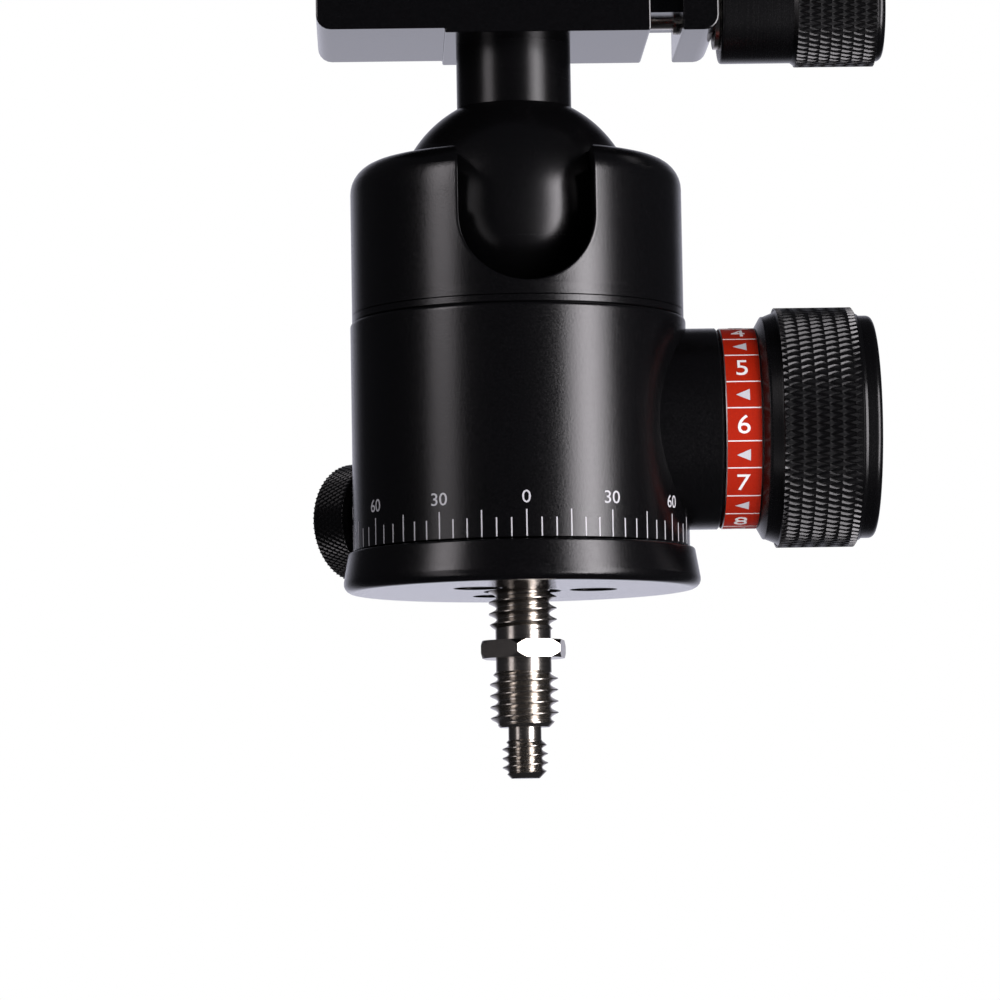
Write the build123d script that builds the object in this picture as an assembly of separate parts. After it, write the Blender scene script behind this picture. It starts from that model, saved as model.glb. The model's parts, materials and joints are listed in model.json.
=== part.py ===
"""Tripod ball head: a panning housing on a base disc, a locking ball, and a plate clamp.

Millimetres, +Z up. The origin is the centre of the base disc's underside, where the tripod's
own plate meets it. +X points to the main lock knob and -Y to the drop notch.
"""
import os
from math import asin, degrees, pi, radians, sqrt, tan

from build123d import *

# Clearances
FIT = 0.02            # between pieces fastened to each other
RUN = 0.05            # radial running clearance of pieces that turn or slide
AIR = 0.2             # between pieces that pass each other

# Tripod stud
STUD_R = 4.7625       # 3/8 inch thread, over its crests
TIP_R = 3.175         # 1/4 inch thread, over its crests
STUD_NECK = 6.9       # from the base disc down to the hexagon
HEX_FLATS = 11.1
HEX_H = 2.5
STUD_LOW = 9.6        # length of the lower 3/8 inch thread
TIP_LEN = 7.1
STUD_IN = 6.4         # length of stud above the base disc's top
RELIEF_DEPTH = 1.0
RELIEF_LEN = 1.4
STUD_CHAMFER = 0.6

# Ball, pressure cup and the walls round them
BALL_R = 17.0
LINER_T = 0.5
CUP_WALL = 3.35       # from the ball's radius to the cup's outside
CUP_FLOOR = 6.35
SKIRT_T = 1.18        # collar's threaded skirt
REGISTER_WALL = 1.9   # housing wall outside that skirt
COLLAR_STEP = 0.25    # collar is this much smaller in radius than the housing
COLLAR_RISE = 6.6     # top of the collar above the ball's centre
COLLAR_EDGE = 3.5
SEAM_RISE = 1.9       # seam above the ball's lowest point
SKIRT_DEPTH = 5.3
SEAM_CHAMFER = 0.5
NOTCH_AIR = 1.25      # each side of the stem where it lies in the drop notch
NOTCH_RISE = 2.8      # lowest point of the drop notch above the seam
NOTCH_BREAK = 0.6
SEAT_T = 2.0          # radial thickness of the upper seat ring
SEAT_LOW = 1.5        # lower face of the seat ring below the ball's centre
SEAT_HIGH = 4.5       # upper face above it
SHADOW_LINE = 0.15

# Base disc and pan bearing
BASE_LIP = 1.5        # disc is this much larger in radius than the housing
BASE_TAPER = 0.8
BASE_H = 5.6
BASE_EDGE = 0.8
BASE_SCREW_PCD = 20.0
BASE_SCREWS = 3
CBORE_AIR = 0.425     # round the heads of the base screws
CBORE_FLOOR = 2.3     # base disc left above the heads
COUNTERSINK = 0.7375  # width of the bevel round the stud
HUB_WALL = 6.5        # from the hub's surface to the housing's outside
HUB_H = 8.6
GROOVE_DEPTH = 2.0
GROOVE_HALF = 2.0     # half the groove's height at the hub's surface
GROOVE_FLOOR = 0.6
PAN_RISE = 6.15       # pan lock's axis above the base disc
NECK_STEP = 6.5
WASHER_T = 0.4
WEB_T = 1.5
RETAINER_LIP = 3.1
RETAINER_T = 1.6
SKIRT_GAP = 0.2       # under the housing's lower edge
M4_R, M4_HEAD_R = 2.0, 3.5
M3_R, M3_HEAD_R, M3_HEAD_H = 1.5, 2.75, 3.0

# Main lock: boss, wedge, spindle and knob
BOSS_R = 14.1
BOSS_OUT = 4.25       # boss end beyond the housing's radius
BOSS_GAP = 2.7        # boss above the base disc
BOSS_ROOF = 1.3       # least wall from the boss up to the seam
BOSS_CHAMFER = 0.35
WEDGE_WALL = 2.5      # round the spindle's thread
WEDGE_SLOPE = 20.0    # degrees
WEDGE_TIP = -2.0
WEDGE_SHOULDER_AIR = 0.5
WEDGE_SHORT = 3.5     # wedge ends this far inside the housing's radius
WEDGE_TOP = 4.6       # top of the slope above the spindle's axis
SPINDLE_R = 3.0
SPINDLE_PITCH = 1.0
SPINDLE_COLLAR_AIR = 0.3
BUSH_WALL = 2.0       # outside the wedge's bore
BUSH_FLOOR = 0.5      # bush starts this far outside the housing's radius, inwards
FOOT_STEP = 8.35      # cup's foot is this much smaller in radius than the cup
GUIDE_PIN_R = 1.25
GUIDE_PIN_OUT = 4.2   # pins stand this far outside the foot
RING_STEP = 0.05      # ring is this much smaller in radius than the boss
RING_T = 1.55
RING_W = 5.05
KNOB_FLANK = 2.7      # length of the cone between ring and grip
KNOB_RIDGE = 1.55     # ridge beyond the ring's radius
KNOB_RISE = 1.2       # grip beyond the ridge's radius
KNOB_GRIP = 10.6
KNOB_END_BEVEL = 0.8
KNOB_FACE_STEP = 1.1
CAP_T = 2.5
CAP_EDGE = 1.2

# Pan lock, at the back left
PAN_AZIMUTH = 135.0
PAN_PAD_R = 2.9
PAN_PAD_LEN = 2.0     # from the hub's radius to the screw's tip
PAN_TRAVEL = 1.2
PAN_SCREW_R = 2.5
PAN_HUB_R = 5.5
PAN_KNOB_R = 8.5
PAN_KNOB_GRIP = 6.0
PAN_CAP_STEP = 1.2
PAN_CAP_T = 3.0
PAN_CAP_EDGE = 1.6

# Stem and plate clamp
STEM_R = 8.05
SPIGOT_STEP = 3.05
SPIGOT_DEPTH = 12.5   # stem spigot inside the ball
STEM_TENON_STEP = 0.85
STEM_TENON_H = 1.6
SWING_AIR = 0.3       # clamp clears the housing by this when the stem lies in the notch
PLATE_HALF = 19.0     # half the width of the plate's dovetail foot
DOVETAIL_WALL = 2.1
DOVETAIL_RUN = 2.7    # 45 degree flank
CLAMP_HALF_Y = 12.85
CLAMP_LIP_T = 8.6     # fixed lip outside the plate's foot
JAW_AIR = 0.25        # between the clamp's body and the closed jaw
CLAMP_FLOOR = 11.0
JAW_RISE = 6.0
UNDERSTEP_X = -9.8
UNDERSTEP = 0.6
CLAMP_CORNER = 2.0
CLAMP_BREAK = 0.5
JAW_T = 5.0
JAW_OPEN = 4.2        # jaw's distance from its closed place
BOLT_RISE = 5.4       # bolt's axis above the clamp's underside
BOLT_R = 3.0
BOLT_TIP = -2.0
TONGUE_RISE = 3.4
TONGUE_H = 6.0
TONGUE_SIDE = 4.85    # clamp's body on each side of the tongue
TONGUE_LEN = 9.2
CLIP_RIM = 0.7
CLIP_T = 0.6
CLAMP_SCREW_IN = 2.85  # screws stand this far inside the stem's radius
THRUST_T = 0.8
GRIP_HUB_STEP = 1.1
GRIP_HUB_LEN = 10.1
GRIP_R = 9.0
GRIP_LEN = 11.0
GRIP_CAP_STEP = 1.2
GRIP_CAP_T = 1.9

# Radii and heights that follow
NOTCH_W = 2 * (STEM_R + NOTCH_AIR)
CUP_R = BALL_R + CUP_WALL
CUP_BORE_R = CUP_R + RUN
SKIRT_R = CUP_BORE_R + SKIRT_T
HOUSING_R = SKIRT_R + FIT + REGISTER_WALL
COLLAR_R = HOUSING_R - COLLAR_STEP
BASE_R = HOUSING_R + BASE_LIP
BASE_CBORE_R = M3_HEAD_R + CBORE_AIR
BASE_CBORE_DEPTH = BASE_H - CBORE_FLOOR
COUNTERSINK_R = STUD_R + COUNTERSINK
HUB_R = HOUSING_R - HUB_WALL
NECK_R = HUB_R - NECK_STEP
RETAINER_R = NECK_R + RETAINER_LIP
HOUSING_Z = BASE_H + SKIRT_GAP
HUB_TOP = BASE_H + HUB_H
WEB_Z = HUB_TOP + WASHER_T + FIT
WEB_TOP = WEB_Z + WEB_T
UPPER_WASHER_Z = WEB_TOP + FIT
NECK_TOP = UPPER_WASHER_Z + WASHER_T
RETAINER_TOP = NECK_TOP + RETAINER_T
PAN_Z = BASE_H + PAN_RISE
FOOT_R = CUP_R - FOOT_STEP
GUIDE_PIN_Y = FOOT_R + GUIDE_PIN_OUT
WEDGE_R = SPINDLE_R + WEDGE_WALL
WEDGE_SHOULDER = FOOT_R + WEDGE_SHOULDER_AIR
WEDGE_END = HOUSING_R - WEDGE_SHORT
SPINDLE_COLLAR_R = WEDGE_R - SPINDLE_COLLAR_AIR
BUSH_R = WEDGE_R + BUSH_WALL
RING_R = BOSS_R - RING_STEP
RING_IN_R = RING_R - RING_T
KNOB_RIDGE_R = RING_R + KNOB_RIDGE
KNOB_R = KNOB_RIDGE_R + KNOB_RISE
KNOB_FACE_R = KNOB_R - KNOB_FACE_STEP
PAN_CAP_R = PAN_KNOB_R - PAN_CAP_STEP
WEDGE_FLOOR = RETAINER_TOP + 2 * AIR
LOCK_Z = max(BASE_H + BOSS_GAP + BOSS_R, WEDGE_FLOOR + SPINDLE_R + 0.8)
SEAM_LIFT = 2 * AIR + CUP_FLOOR + RUN + LINER_T + RUN + SEAM_RISE
SHOULDER_Z = LOCK_Z + max(WEDGE_R + 0.7, BOSS_R + BOSS_ROOF - SEAM_LIFT)
CUP_Z = SHOULDER_Z + 2 * AIR
BALL_Z = CUP_Z + CUP_FLOOR + RUN + LINER_T + RUN + BALL_R
SEAM_Z = BALL_Z - BALL_R + SEAM_RISE
SKIRT_Z = SEAM_Z - SKIRT_DEPTH
NOTCH_Z = SEAM_Z + NOTCH_RISE
CUP_TOP = NOTCH_Z - 0.1
COLLAR_TOP = BALL_Z + COLLAR_RISE
BOSS_END = HOUSING_R + BOSS_OUT
SPIGOT_R = STEM_R - SPIGOT_STEP
STEM_TENON_R = STEM_R - STEM_TENON_STEP
CLAMP_SCREW_Y = STEM_R - CLAMP_SCREW_IN
CLAMP_LEFT = -PLATE_HALF - CLAMP_LIP_T
CLAMP_RIGHT = PLATE_HALF - JAW_AIR
TONGUE_HALF_Y = CLAMP_HALF_Y - TONGUE_SIDE
CLIP_R = BOLT_R + CLIP_RIM
GRIP_HUB_R = GRIP_R - GRIP_HUB_STEP
GRIP_CAP_R = GRIP_R - GRIP_CAP_STEP
CLAMP_Z = BALL_Z + HOUSING_R + SWING_AIR
FLOOR_Z = CLAMP_Z + CLAMP_FLOOR
CLAMP_TOP = FLOOR_Z + JAW_RISE
BOLT_Z = CLAMP_Z + BOLT_RISE
JAW_X = PLATE_HALF + JAW_OPEN
TONGUE_Z = CLAMP_Z + TONGUE_RISE

BOTTOM = (Align.CENTER, Align.CENTER, Align.MIN)


def rod(radius, start, end):
    """A cylinder on the Z axis from one height to another."""
    return Pos(0, 0, start) * Cylinder(radius, end - start, align=BOTTOM)


def tube(outer, inner, start, end):
    return rod(outer, start, end) - rod(inner, start - 1, end + 1)


def cone(low_r, high_r, start, end):
    return Pos(0, 0, start) * Cone(low_r, high_r, end - start, align=BOTTOM)


def turned(points):
    """A solid of revolution about Z from (radius, height) points."""
    outline = Polyline(*[(r, 0, z) for r, z in points], close=True)
    return revolve(make_face(outline), Axis.Z)


def block(x0, x1, y0, y1, z0, z1):
    middle = Pos((x0 + x1) / 2, (y0 + y1) / 2, (z0 + z1) / 2)
    return middle * Box(x1 - x0, y1 - y0, z1 - z0)


def ring_edges(part, radius, height):
    """The circular edges of one radius at one height."""
    circles = part.edges().filter_by(GeomType.CIRCLE)
    return [
        e for e in circles
        if abs(e.radius - radius) < 1e-3 and abs(e.arc_center.Z - height) < 1e-3
    ]


def on_lock_axis(part):
    """Turns a piece made on Z to lie along the main lock's axis, its height becoming X."""
    return Pos(0, 0, LOCK_Z) * Rot(0, 90, 0) * part


def on_pan_axis(part):
    """The same for the pan lock, its height becoming the distance from the head's axis."""
    return Pos(0, 0, PAN_Z) * Rot(0, 0, PAN_AZIMUTH) * Rot(0, 90, 0) * part


def on_bolt_axis(part):
    return Pos(0, 0, BOLT_Z) * Rot(0, 90, 0) * part


def ball_space(radius):
    return Pos(0, 0, BALL_Z) * Sphere(radius)


def around(count, radius, part):
    """Copies of a part spaced evenly about Z, the first one on +X."""
    return [Rot(0, 0, i * 360 / count) * Pos(radius, 0, 0) * part for i in range(count)]


def countersunk(shank_r, head_r, top, bottom):
    """A flat-head screw with its head level with the top height."""
    return rod(shank_r, bottom, top) + cone(shank_r, head_r, top - (head_r - shank_r), top)


# Base: everything that stays with the tripod

def tripod_stud():
    hex_top = -STUD_NECK
    hex_low = hex_top - HEX_H
    low_end = hex_low - STUD_LOW
    end = low_end - TIP_LEN
    neck_r = STUD_R - RELIEF_DEPTH
    tip_neck_r = TIP_R - RELIEF_DEPTH / 2
    shaft = turned([
        (0, BASE_H + STUD_IN),
        (STUD_R - STUD_CHAMFER, BASE_H + STUD_IN),
        (STUD_R, BASE_H + STUD_IN - STUD_CHAMFER),
        (STUD_R, hex_top + RELIEF_LEN),
        (neck_r, hex_top + RELIEF_LEN - STUD_CHAMFER),
        (neck_r, hex_low - RELIEF_LEN + STUD_CHAMFER),
        (STUD_R, hex_low - RELIEF_LEN),
        (STUD_R, low_end + STUD_CHAMFER),
        (STUD_R - STUD_CHAMFER, low_end),
        (tip_neck_r, low_end),
        (tip_neck_r, low_end - RELIEF_LEN + STUD_CHAMFER),
        (TIP_R, low_end - RELIEF_LEN),
        (TIP_R, end + STUD_CHAMFER),
        (TIP_R - STUD_CHAMFER, end),
        (0, end),
    ])
    hexagon = RegularPolygon(HEX_FLATS / 2, 6, major_radius=False)
    nut = Pos(0, 0, hex_low) * extrude(Rot(0, 0, 7.5) * hexagon, HEX_H)
    corner_r = HEX_FLATS / sqrt(3)
    dome = turned([
        (0, hex_low), (corner_r - 0.55, hex_low), (corner_r + 0.1, hex_low + 0.45),
        (corner_r + 0.1, hex_top - 0.45), (corner_r - 0.55, hex_top), (0, hex_top),
    ])
    return shaft + (nut & dome)


def base_plate():
    disc = turned([
        (0, 0), (BASE_R, 0), (BASE_R, BASE_EDGE + 0.1),
        (BASE_R - BASE_TAPER, BASE_H), (0, BASE_H),
    ])
    disc = fillet(ring_edges(disc, BASE_R, 0), BASE_EDGE)
    disc = chamfer(ring_edges(disc, BASE_R - BASE_TAPER, BASE_H), 0.3)
    disc -= rod(STUD_R + FIT, -1, BASE_H + 1)
    disc -= cone(COUNTERSINK_R, STUD_R + FIT, 0, COUNTERSINK_R - STUD_R)
    holes = rod(BASE_CBORE_R, -1, BASE_CBORE_DEPTH) + rod(M3_R + AIR, 0, BASE_H + 1)
    for hole in around(BASE_SCREWS, BASE_SCREW_PCD / 2, holes):
        disc -= hole
    return disc


def base_screws():
    """Socket screws that pull the pan hub down on the base disc."""
    head = rod(M3_HEAD_R, BASE_CBORE_DEPTH - M3_HEAD_H, BASE_CBORE_DEPTH)
    across = 2.5
    socket = extrude(RegularPolygon(across / 2, 6, major_radius=False), 1.6)
    head -= Pos(0, 0, BASE_CBORE_DEPTH - M3_HEAD_H) * socket
    screw = head + rod(M3_R, BASE_CBORE_DEPTH, BASE_H + HUB_H / 2)
    return Compound(children=around(BASE_SCREWS, BASE_SCREW_PCD / 2, screw))


def pan_hub():
    """Bearing that the housing turns on, with the V groove that the pan lock bites into."""
    hub = turned([
        (0, BASE_H), (HUB_R, BASE_H),
        (HUB_R, PAN_Z - GROOVE_HALF), (HUB_R - GROOVE_DEPTH, PAN_Z - GROOVE_FLOOR),
        (HUB_R - GROOVE_DEPTH, PAN_Z + GROOVE_FLOOR), (HUB_R, PAN_Z + GROOVE_HALF),
        (HUB_R, HUB_TOP), (NECK_R, HUB_TOP), (NECK_R, NECK_TOP), (0, NECK_TOP),
    ])
    hub -= rod(STUD_R + FIT, BASE_H - 1, BASE_H + STUD_IN + AIR)
    hub -= rod(M4_R + FIT, BASE_H + STUD_IN, NECK_TOP + 1)
    thread = rod(M3_R + FIT, BASE_H - 1, BASE_H + HUB_H / 2 + AIR)
    for hole in around(BASE_SCREWS, BASE_SCREW_PCD / 2, thread):
        hub -= hole
    return hub


def pan_lower_washer():
    return tube(HUB_R - AIR, NECK_R + RUN, HUB_TOP, HUB_TOP + WASHER_T)


def pan_upper_washer():
    return tube(RETAINER_R, NECK_R + RUN, UPPER_WASHER_Z, NECK_TOP)


def pan_retainer():
    disc = rod(RETAINER_R, NECK_TOP, RETAINER_TOP)
    flat = M4_HEAD_R + FIT
    return disc - cone(M4_R + FIT, flat, RETAINER_TOP - (flat - M4_R - FIT), RETAINER_TOP) \
        - rod(M4_R + FIT, NECK_TOP - 1, RETAINER_TOP + 1)


def retainer_screw():
    screw = countersunk(M4_R, M4_HEAD_R, RETAINER_TOP, BASE_H + STUD_IN + 2 * AIR)
    socket = extrude(RegularPolygon(1.25, 6, major_radius=False), 1.5)
    return screw - Pos(0, 0, RETAINER_TOP - 1.5) * socket


# Housing: everything that pans

def notch_cutter(margin=0.0):
    """The drop notch: a slot with a round bottom, open at the top and to the front."""
    half = NOTCH_W / 2 + margin
    middle = NOTCH_Z + NOTCH_W / 2
    low = Pos(0, 0, middle) * Rot(90, 0, 0) * Cylinder(half, COLLAR_R + 5, align=BOTTOM)
    return low + block(-half, half, -COLLAR_R - 5, 0, middle, COLLAR_TOP + 5)


def housing():
    body = rod(HOUSING_R, HOUSING_Z, SEAM_Z)
    body = chamfer(ring_edges(body, HOUSING_R, SEAM_Z), SEAM_CHAMFER)
    boss = rod(BOSS_R, 0, BOSS_END)
    boss = chamfer(ring_edges(boss, BOSS_R, BOSS_END), BOSS_CHAMFER)
    body += on_lock_axis(boss)
    body -= rod(HUB_R + RUN, HOUSING_Z - 1, WEB_Z)
    body -= rod(NECK_R + RUN, HOUSING_Z, WEB_TOP + 1)
    body -= rod(RETAINER_R + AIR, WEB_TOP, RETAINER_TOP + AIR)
    body -= rod(FOOT_R + RUN, WEB_TOP + 0.5, SHOULDER_Z + 1)
    body -= rod(CUP_BORE_R, SHOULDER_Z, SEAM_Z + 1)
    body -= rod(SKIRT_R + FIT, SKIRT_Z, SEAM_Z + 1)
    body -= on_lock_axis(rod(WEDGE_R + RUN, 0, BOSS_END))
    body -= on_lock_axis(rod(BUSH_R + FIT, HOUSING_R - BUSH_FLOOR, BOSS_END + 1))
    body -= on_pan_axis(rod(PAN_PAD_R + RUN, 0, HUB_R + PAN_PAD_LEN + PAN_TRAVEL + AIR))
    body -= on_pan_axis(rod(PAN_SCREW_R + RUN, 0, HOUSING_R + 5))
    for side in (-1, 1):
        body -= Pos(0, side * GUIDE_PIN_Y, 0) * rod(GUIDE_PIN_R + FIT, SHOULDER_Z - 4, SHOULDER_Z + 1)
    body -= grub_place() * rod(M3_R + FIT, 0, HOUSING_R)
    return body


def grub_place():
    """Axis of the grub screw that locks the collar's thread, at the back."""
    return Pos(0, 0, (SKIRT_Z + SEAM_Z) / 2) * Rot(-90, 0, 0)


def collar():
    """Threaded upper ring that holds the ball down, with the drop notch cut in its front."""
    ring = turned([
        (CUP_BORE_R, SKIRT_Z), (SKIRT_R, SKIRT_Z), (SKIRT_R, SEAM_Z + FIT),
        (COLLAR_R - SEAM_CHAMFER, SEAM_Z + FIT), (COLLAR_R, SEAM_Z + SEAM_CHAMFER),
        (COLLAR_R, SEAM_Z + 3 * SHADOW_LINE + SEAM_CHAMFER),
        (COLLAR_R - SHADOW_LINE, SEAM_Z + 3.5 * SHADOW_LINE + SEAM_CHAMFER),
        (COLLAR_R, SEAM_Z + 4 * SHADOW_LINE + SEAM_CHAMFER),
        (COLLAR_R, COLLAR_TOP), (STEM_R, COLLAR_TOP),
        (STEM_R, BALL_Z + SEAT_HIGH), (seat_r(), BALL_Z + SEAT_HIGH),
        (seat_r(), BALL_Z - SEAT_LOW), (CUP_BORE_R, BALL_Z - SEAT_LOW - 1),
    ])
    ring = fillet(ring_edges(ring, COLLAR_R, COLLAR_TOP), COLLAR_EDGE)
    ring -= ball_space(BALL_R + AIR)
    ring -= notch_cutter()
    edges = [e for e in ring.edges() if on_notch_rim(e)]
    return chamfer(edges, NOTCH_BREAK) if edges else ring


def on_notch_rim(edge):
    """True for the edges where the notch meets the collar's outer wall."""
    points = [edge.position_at(t) for t in (0.05, 0.5, 0.95)]
    outside = all(abs(sqrt(p.X ** 2 + p.Y ** 2) - COLLAR_R) < 0.01 and p.Y < 0 for p in points)
    inside_notch = all(abs(p.X) < NOTCH_W / 2 + 0.01 and p.Z > NOTCH_Z - 0.01 for p in points)
    return outside and inside_notch


def seat_r():
    return BALL_R + SEAT_T


def seat_ring():
    """Upper seat that the ball is pressed against, open at the notch."""
    ring = rod(seat_r() - FIT, BALL_Z - SEAT_LOW, BALL_Z + SEAT_HIGH - FIT)
    return ring - ball_space(BALL_R + RUN) - notch_cutter(0.05)


def collar_grub_screw():
    screw = rod(M3_R, SKIRT_R + FIT, HOUSING_R - 0.3)
    socket = extrude(RegularPolygon(0.75, 6, major_radius=False), 1.0)
    return grub_place() * (screw - Pos(0, 0, HOUSING_R - 1.3) * socket)


def boss_bush():
    return on_lock_axis(tube(BUSH_R, SPINDLE_R + RUN, HOUSING_R - BUSH_FLOOR, BOSS_END))


def spindle_washer():
    face = HOUSING_R - BUSH_FLOOR
    return on_lock_axis(tube(SPINDLE_COLLAR_R, SPINDLE_R + RUN, face - 0.5, face - FIT))


def cup_guide_pins():
    pin = rod(GUIDE_PIN_R, SHOULDER_Z - 4 + FIT, CUP_Z + 4)
    return Compound(children=[Pos(0, side * GUIDE_PIN_Y, 0) * pin for side in (-1, 1)])


# Main lock

def slope_cutter(lift=0.0):
    """Everything above the wedge's sloping face, which falls towards -X."""
    top = LOCK_Z + WEDGE_TOP + lift
    drop = (WEDGE_SHOULDER - WEDGE_TIP + 4) * tan(radians(WEDGE_SLOPE))
    tip_x = WEDGE_TIP - 4
    outline = Polyline(
        (tip_x, 0, top - drop), (WEDGE_SHOULDER, 0, top),
        (WEDGE_SHOULDER, 0, top + 20), (tip_x, 0, top + 20), close=True,
    )
    return Pos(0, 10, 0) * extrude(make_face(outline), 20, dir=(0, -1, 0))


def lock_wedge():
    """Nut on the spindle's left-hand thread; its slope carries the pressure cup."""
    wedge = rod(WEDGE_R, WEDGE_TIP, WEDGE_END) - rod(SPINDLE_R + RUN, WEDGE_SHOULDER - 2.5, WEDGE_END + 1)
    wedge = on_lock_axis(wedge) - slope_cutter()
    floor = block(WEDGE_TIP - 1, WEDGE_END + 1, -10, 10, WEDGE_FLOOR - 20, WEDGE_FLOOR)
    return wedge - floor


def pressure_cup():
    cup = rod(CUP_R, CUP_Z, CUP_TOP) + rod(FOOT_R, WEDGE_FLOOR + AIR, CUP_Z)
    cup -= ball_space(BALL_R + RUN + LINER_T + RUN)
    half = WEDGE_R + AIR
    slot = block(WEDGE_TIP - 2, FOOT_R + 1, -half, half, WEDGE_FLOOR - 1, SHOULDER_Z)
    cup -= slot - slope_cutter(RUN)
    for side in (-1, 1):
        cup -= Pos(0, side * GUIDE_PIN_Y, 0) * rod(GUIDE_PIN_R + RUN, CUP_Z - 1, CUP_Z + 4 + 4 * AIR)
    return cup


def ball_liner():
    """Low-friction dish between ball and cup."""
    dish = ball_space(BALL_R + RUN + LINER_T) - ball_space(BALL_R + RUN)
    return dish & rod(CUP_R, BALL_Z - BALL_R - 2, CUP_TOP - 0.9)


def lock_spindle():
    face = HOUSING_R - BUSH_FLOOR
    knob_floor = knob_screw_floor()
    spindle = rod(SPINDLE_R, WEDGE_SHOULDER - 1, knob_floor - FIT)
    spindle += rod(SPINDLE_COLLAR_R, face - 1.8, face - 0.5 - RUN)
    return on_lock_axis(spindle - rod(M4_R + FIT, knob_floor - 8.5, knob_floor + 1))


def knob_start():
    return BOSS_END + AIR


def knob_grip_start():
    return knob_start() + RING_W + KNOB_FLANK


def knob_end():
    return knob_grip_start() + KNOB_GRIP + KNOB_END_BEVEL


def knob_screw_floor():
    """Bottom of the screw's recess in the knob, measured along the lock axis."""
    return knob_end() - 6.6


def main_knob():
    ring_end = knob_start() + RING_W
    grip = knob_grip_start()
    grip_end = grip + KNOB_GRIP
    knob = turned([
        (0, knob_start()), (RING_IN_R, knob_start()), (RING_IN_R, ring_end + FIT),
        (RING_R, ring_end + FIT), (KNOB_RIDGE_R, ring_end + 0.9),
        (KNOB_RIDGE_R, ring_end + 1.2), (KNOB_R - 0.6, grip), (KNOB_R, grip + 0.5),
        (KNOB_R, grip_end), (KNOB_FACE_R, knob_end()), (0, knob_end()),
    ])
    knob -= rod(SPINDLE_R + FIT, knob_start() - 1, knob_end())
    knob -= rod(2 * SPINDLE_R, knob_screw_floor(), knob_end() + 1)
    return on_lock_axis(knob - rod(3 * SPINDLE_R + FIT, knob_end() - 3, knob_end() + 1))


def main_scale_ring():
    return on_lock_axis(tube(RING_R, RING_IN_R + FIT, knob_start(), knob_start() + RING_W))


def main_knob_washer():
    floor = knob_screw_floor()
    return on_lock_axis(tube(2 * SPINDLE_R - AIR, M4_R + FIT, floor, floor + 0.8))


def main_knob_screw():
    seat = knob_screw_floor() + 0.8
    screw = rod(3.5, seat + FIT, knob_end() - 3 - AIR) + rod(M4_R, seat - 8, seat + 1)
    socket = extrude(RegularPolygon(1.5, 6, major_radius=False), 1.5)
    return on_lock_axis(screw - Pos(0, 0, knob_end() - 3 - AIR - 1.5) * socket)


def end_cap(radius, thickness, edge, start, spigot_r, spigot_len):
    """A push-in cover disc, rounded at its outer rim."""
    disc = rod(radius, start, start + thickness)
    disc = fillet(ring_edges(disc, radius, start + thickness), edge)
    return disc + rod(spigot_r, start - spigot_len, start)


def main_knob_cap():
    cap = end_cap(KNOB_FACE_R - 0.1, CAP_T, CAP_EDGE, knob_end(), 3 * SPINDLE_R, 3)
    return on_lock_axis(cap)


# Pan lock

def pan_pad():
    """Brass tip that bites into the hub's groove."""
    pad = rod(PAN_PAD_R, HUB_R + 0.3, HUB_R + PAN_PAD_LEN)
    pad += cone(GROOVE_FLOOR, GROOVE_HALF - 0.1, HUB_R - GROOVE_DEPTH + 0.5, HUB_R + 0.3)
    return on_pan_axis(pad)


def pan_knob_start():
    return BASE_R + 1


def pan_lock_screw():
    end = pan_knob_start() + PAN_KNOB_GRIP - 1.2
    return on_pan_axis(rod(PAN_SCREW_R, HUB_R + PAN_PAD_LEN + RUN, end))


def pan_knob():
    start = pan_knob_start()
    end = start + PAN_KNOB_GRIP
    knob = turned([
        (0, HOUSING_R + 0.8), (PAN_HUB_R, HOUSING_R + 0.8), (PAN_HUB_R, start),
        (PAN_CAP_R, start), (PAN_KNOB_R, start + 0.9), (PAN_KNOB_R, end - 0.6),
        (PAN_KNOB_R - 0.6, end), (0, end),
    ])
    knob -= rod(PAN_SCREW_R + FIT, HOUSING_R, end - 1.2 + AIR)
    return on_pan_axis(knob - rod(4 + FIT, end - 1, end + 1))


def pan_knob_cap():
    start = pan_knob_start() + PAN_KNOB_GRIP
    return on_pan_axis(end_cap(PAN_CAP_R, PAN_CAP_T, PAN_CAP_EDGE, start, 4, 0.9))


# Ball, stem and plate clamp

def ball():
    return ball_space(BALL_R) - rod(SPIGOT_R + RUN, stem_foot() - AIR, BALL_Z + BALL_R + 1)


def stem_foot():
    return BALL_Z + sqrt(BALL_R ** 2 - STEM_R ** 2) - SPIGOT_DEPTH


def ball_stem():
    stem = rod(STEM_R, BALL_Z, CLAMP_Z) - ball_space(BALL_R + RUN / 2)
    stem += rod(SPIGOT_R, stem_foot(), CLAMP_Z)
    stem += rod(STEM_TENON_R, CLAMP_Z, CLAMP_Z + STEM_TENON_H)
    for side in (-1, 1):
        stem -= Pos(0, side * CLAMP_SCREW_Y, 0) * rod(M3_R + FIT, CLAMP_Z - 5.2, CLAMP_Z + 5)
    return stem


def clamp_screws():
    screw = countersunk(M3_R, M3_HEAD_R, FLOOR_Z - AIR, CLAMP_Z - 5)
    socket = extrude(RegularPolygon(1.0, 6, major_radius=False), 1.2)
    screw -= Pos(0, 0, FLOOR_Z - AIR - 1.2) * socket
    return Compound(children=[Pos(0, side * CLAMP_SCREW_Y, 0) * screw for side in (-1, 1)])


def across_clamp(points):
    """A profile of (x, z) points drawn out over the clamp's whole width."""
    outline = Polyline(*[(x, -CLAMP_HALF_Y, z) for x, z in points], close=True)
    return extrude(make_face(outline), 2 * CLAMP_HALF_Y, dir=(0, 1, 0))


def long_edges(part, x, z):
    """The edges along Y that pass through one (x, z) point."""
    runs = part.edges().filter_by(Axis.Y)
    return [e for e in runs if abs(e.center().X - x) < 1e-3 and abs(e.center().Z - z) < 1e-3]


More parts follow.
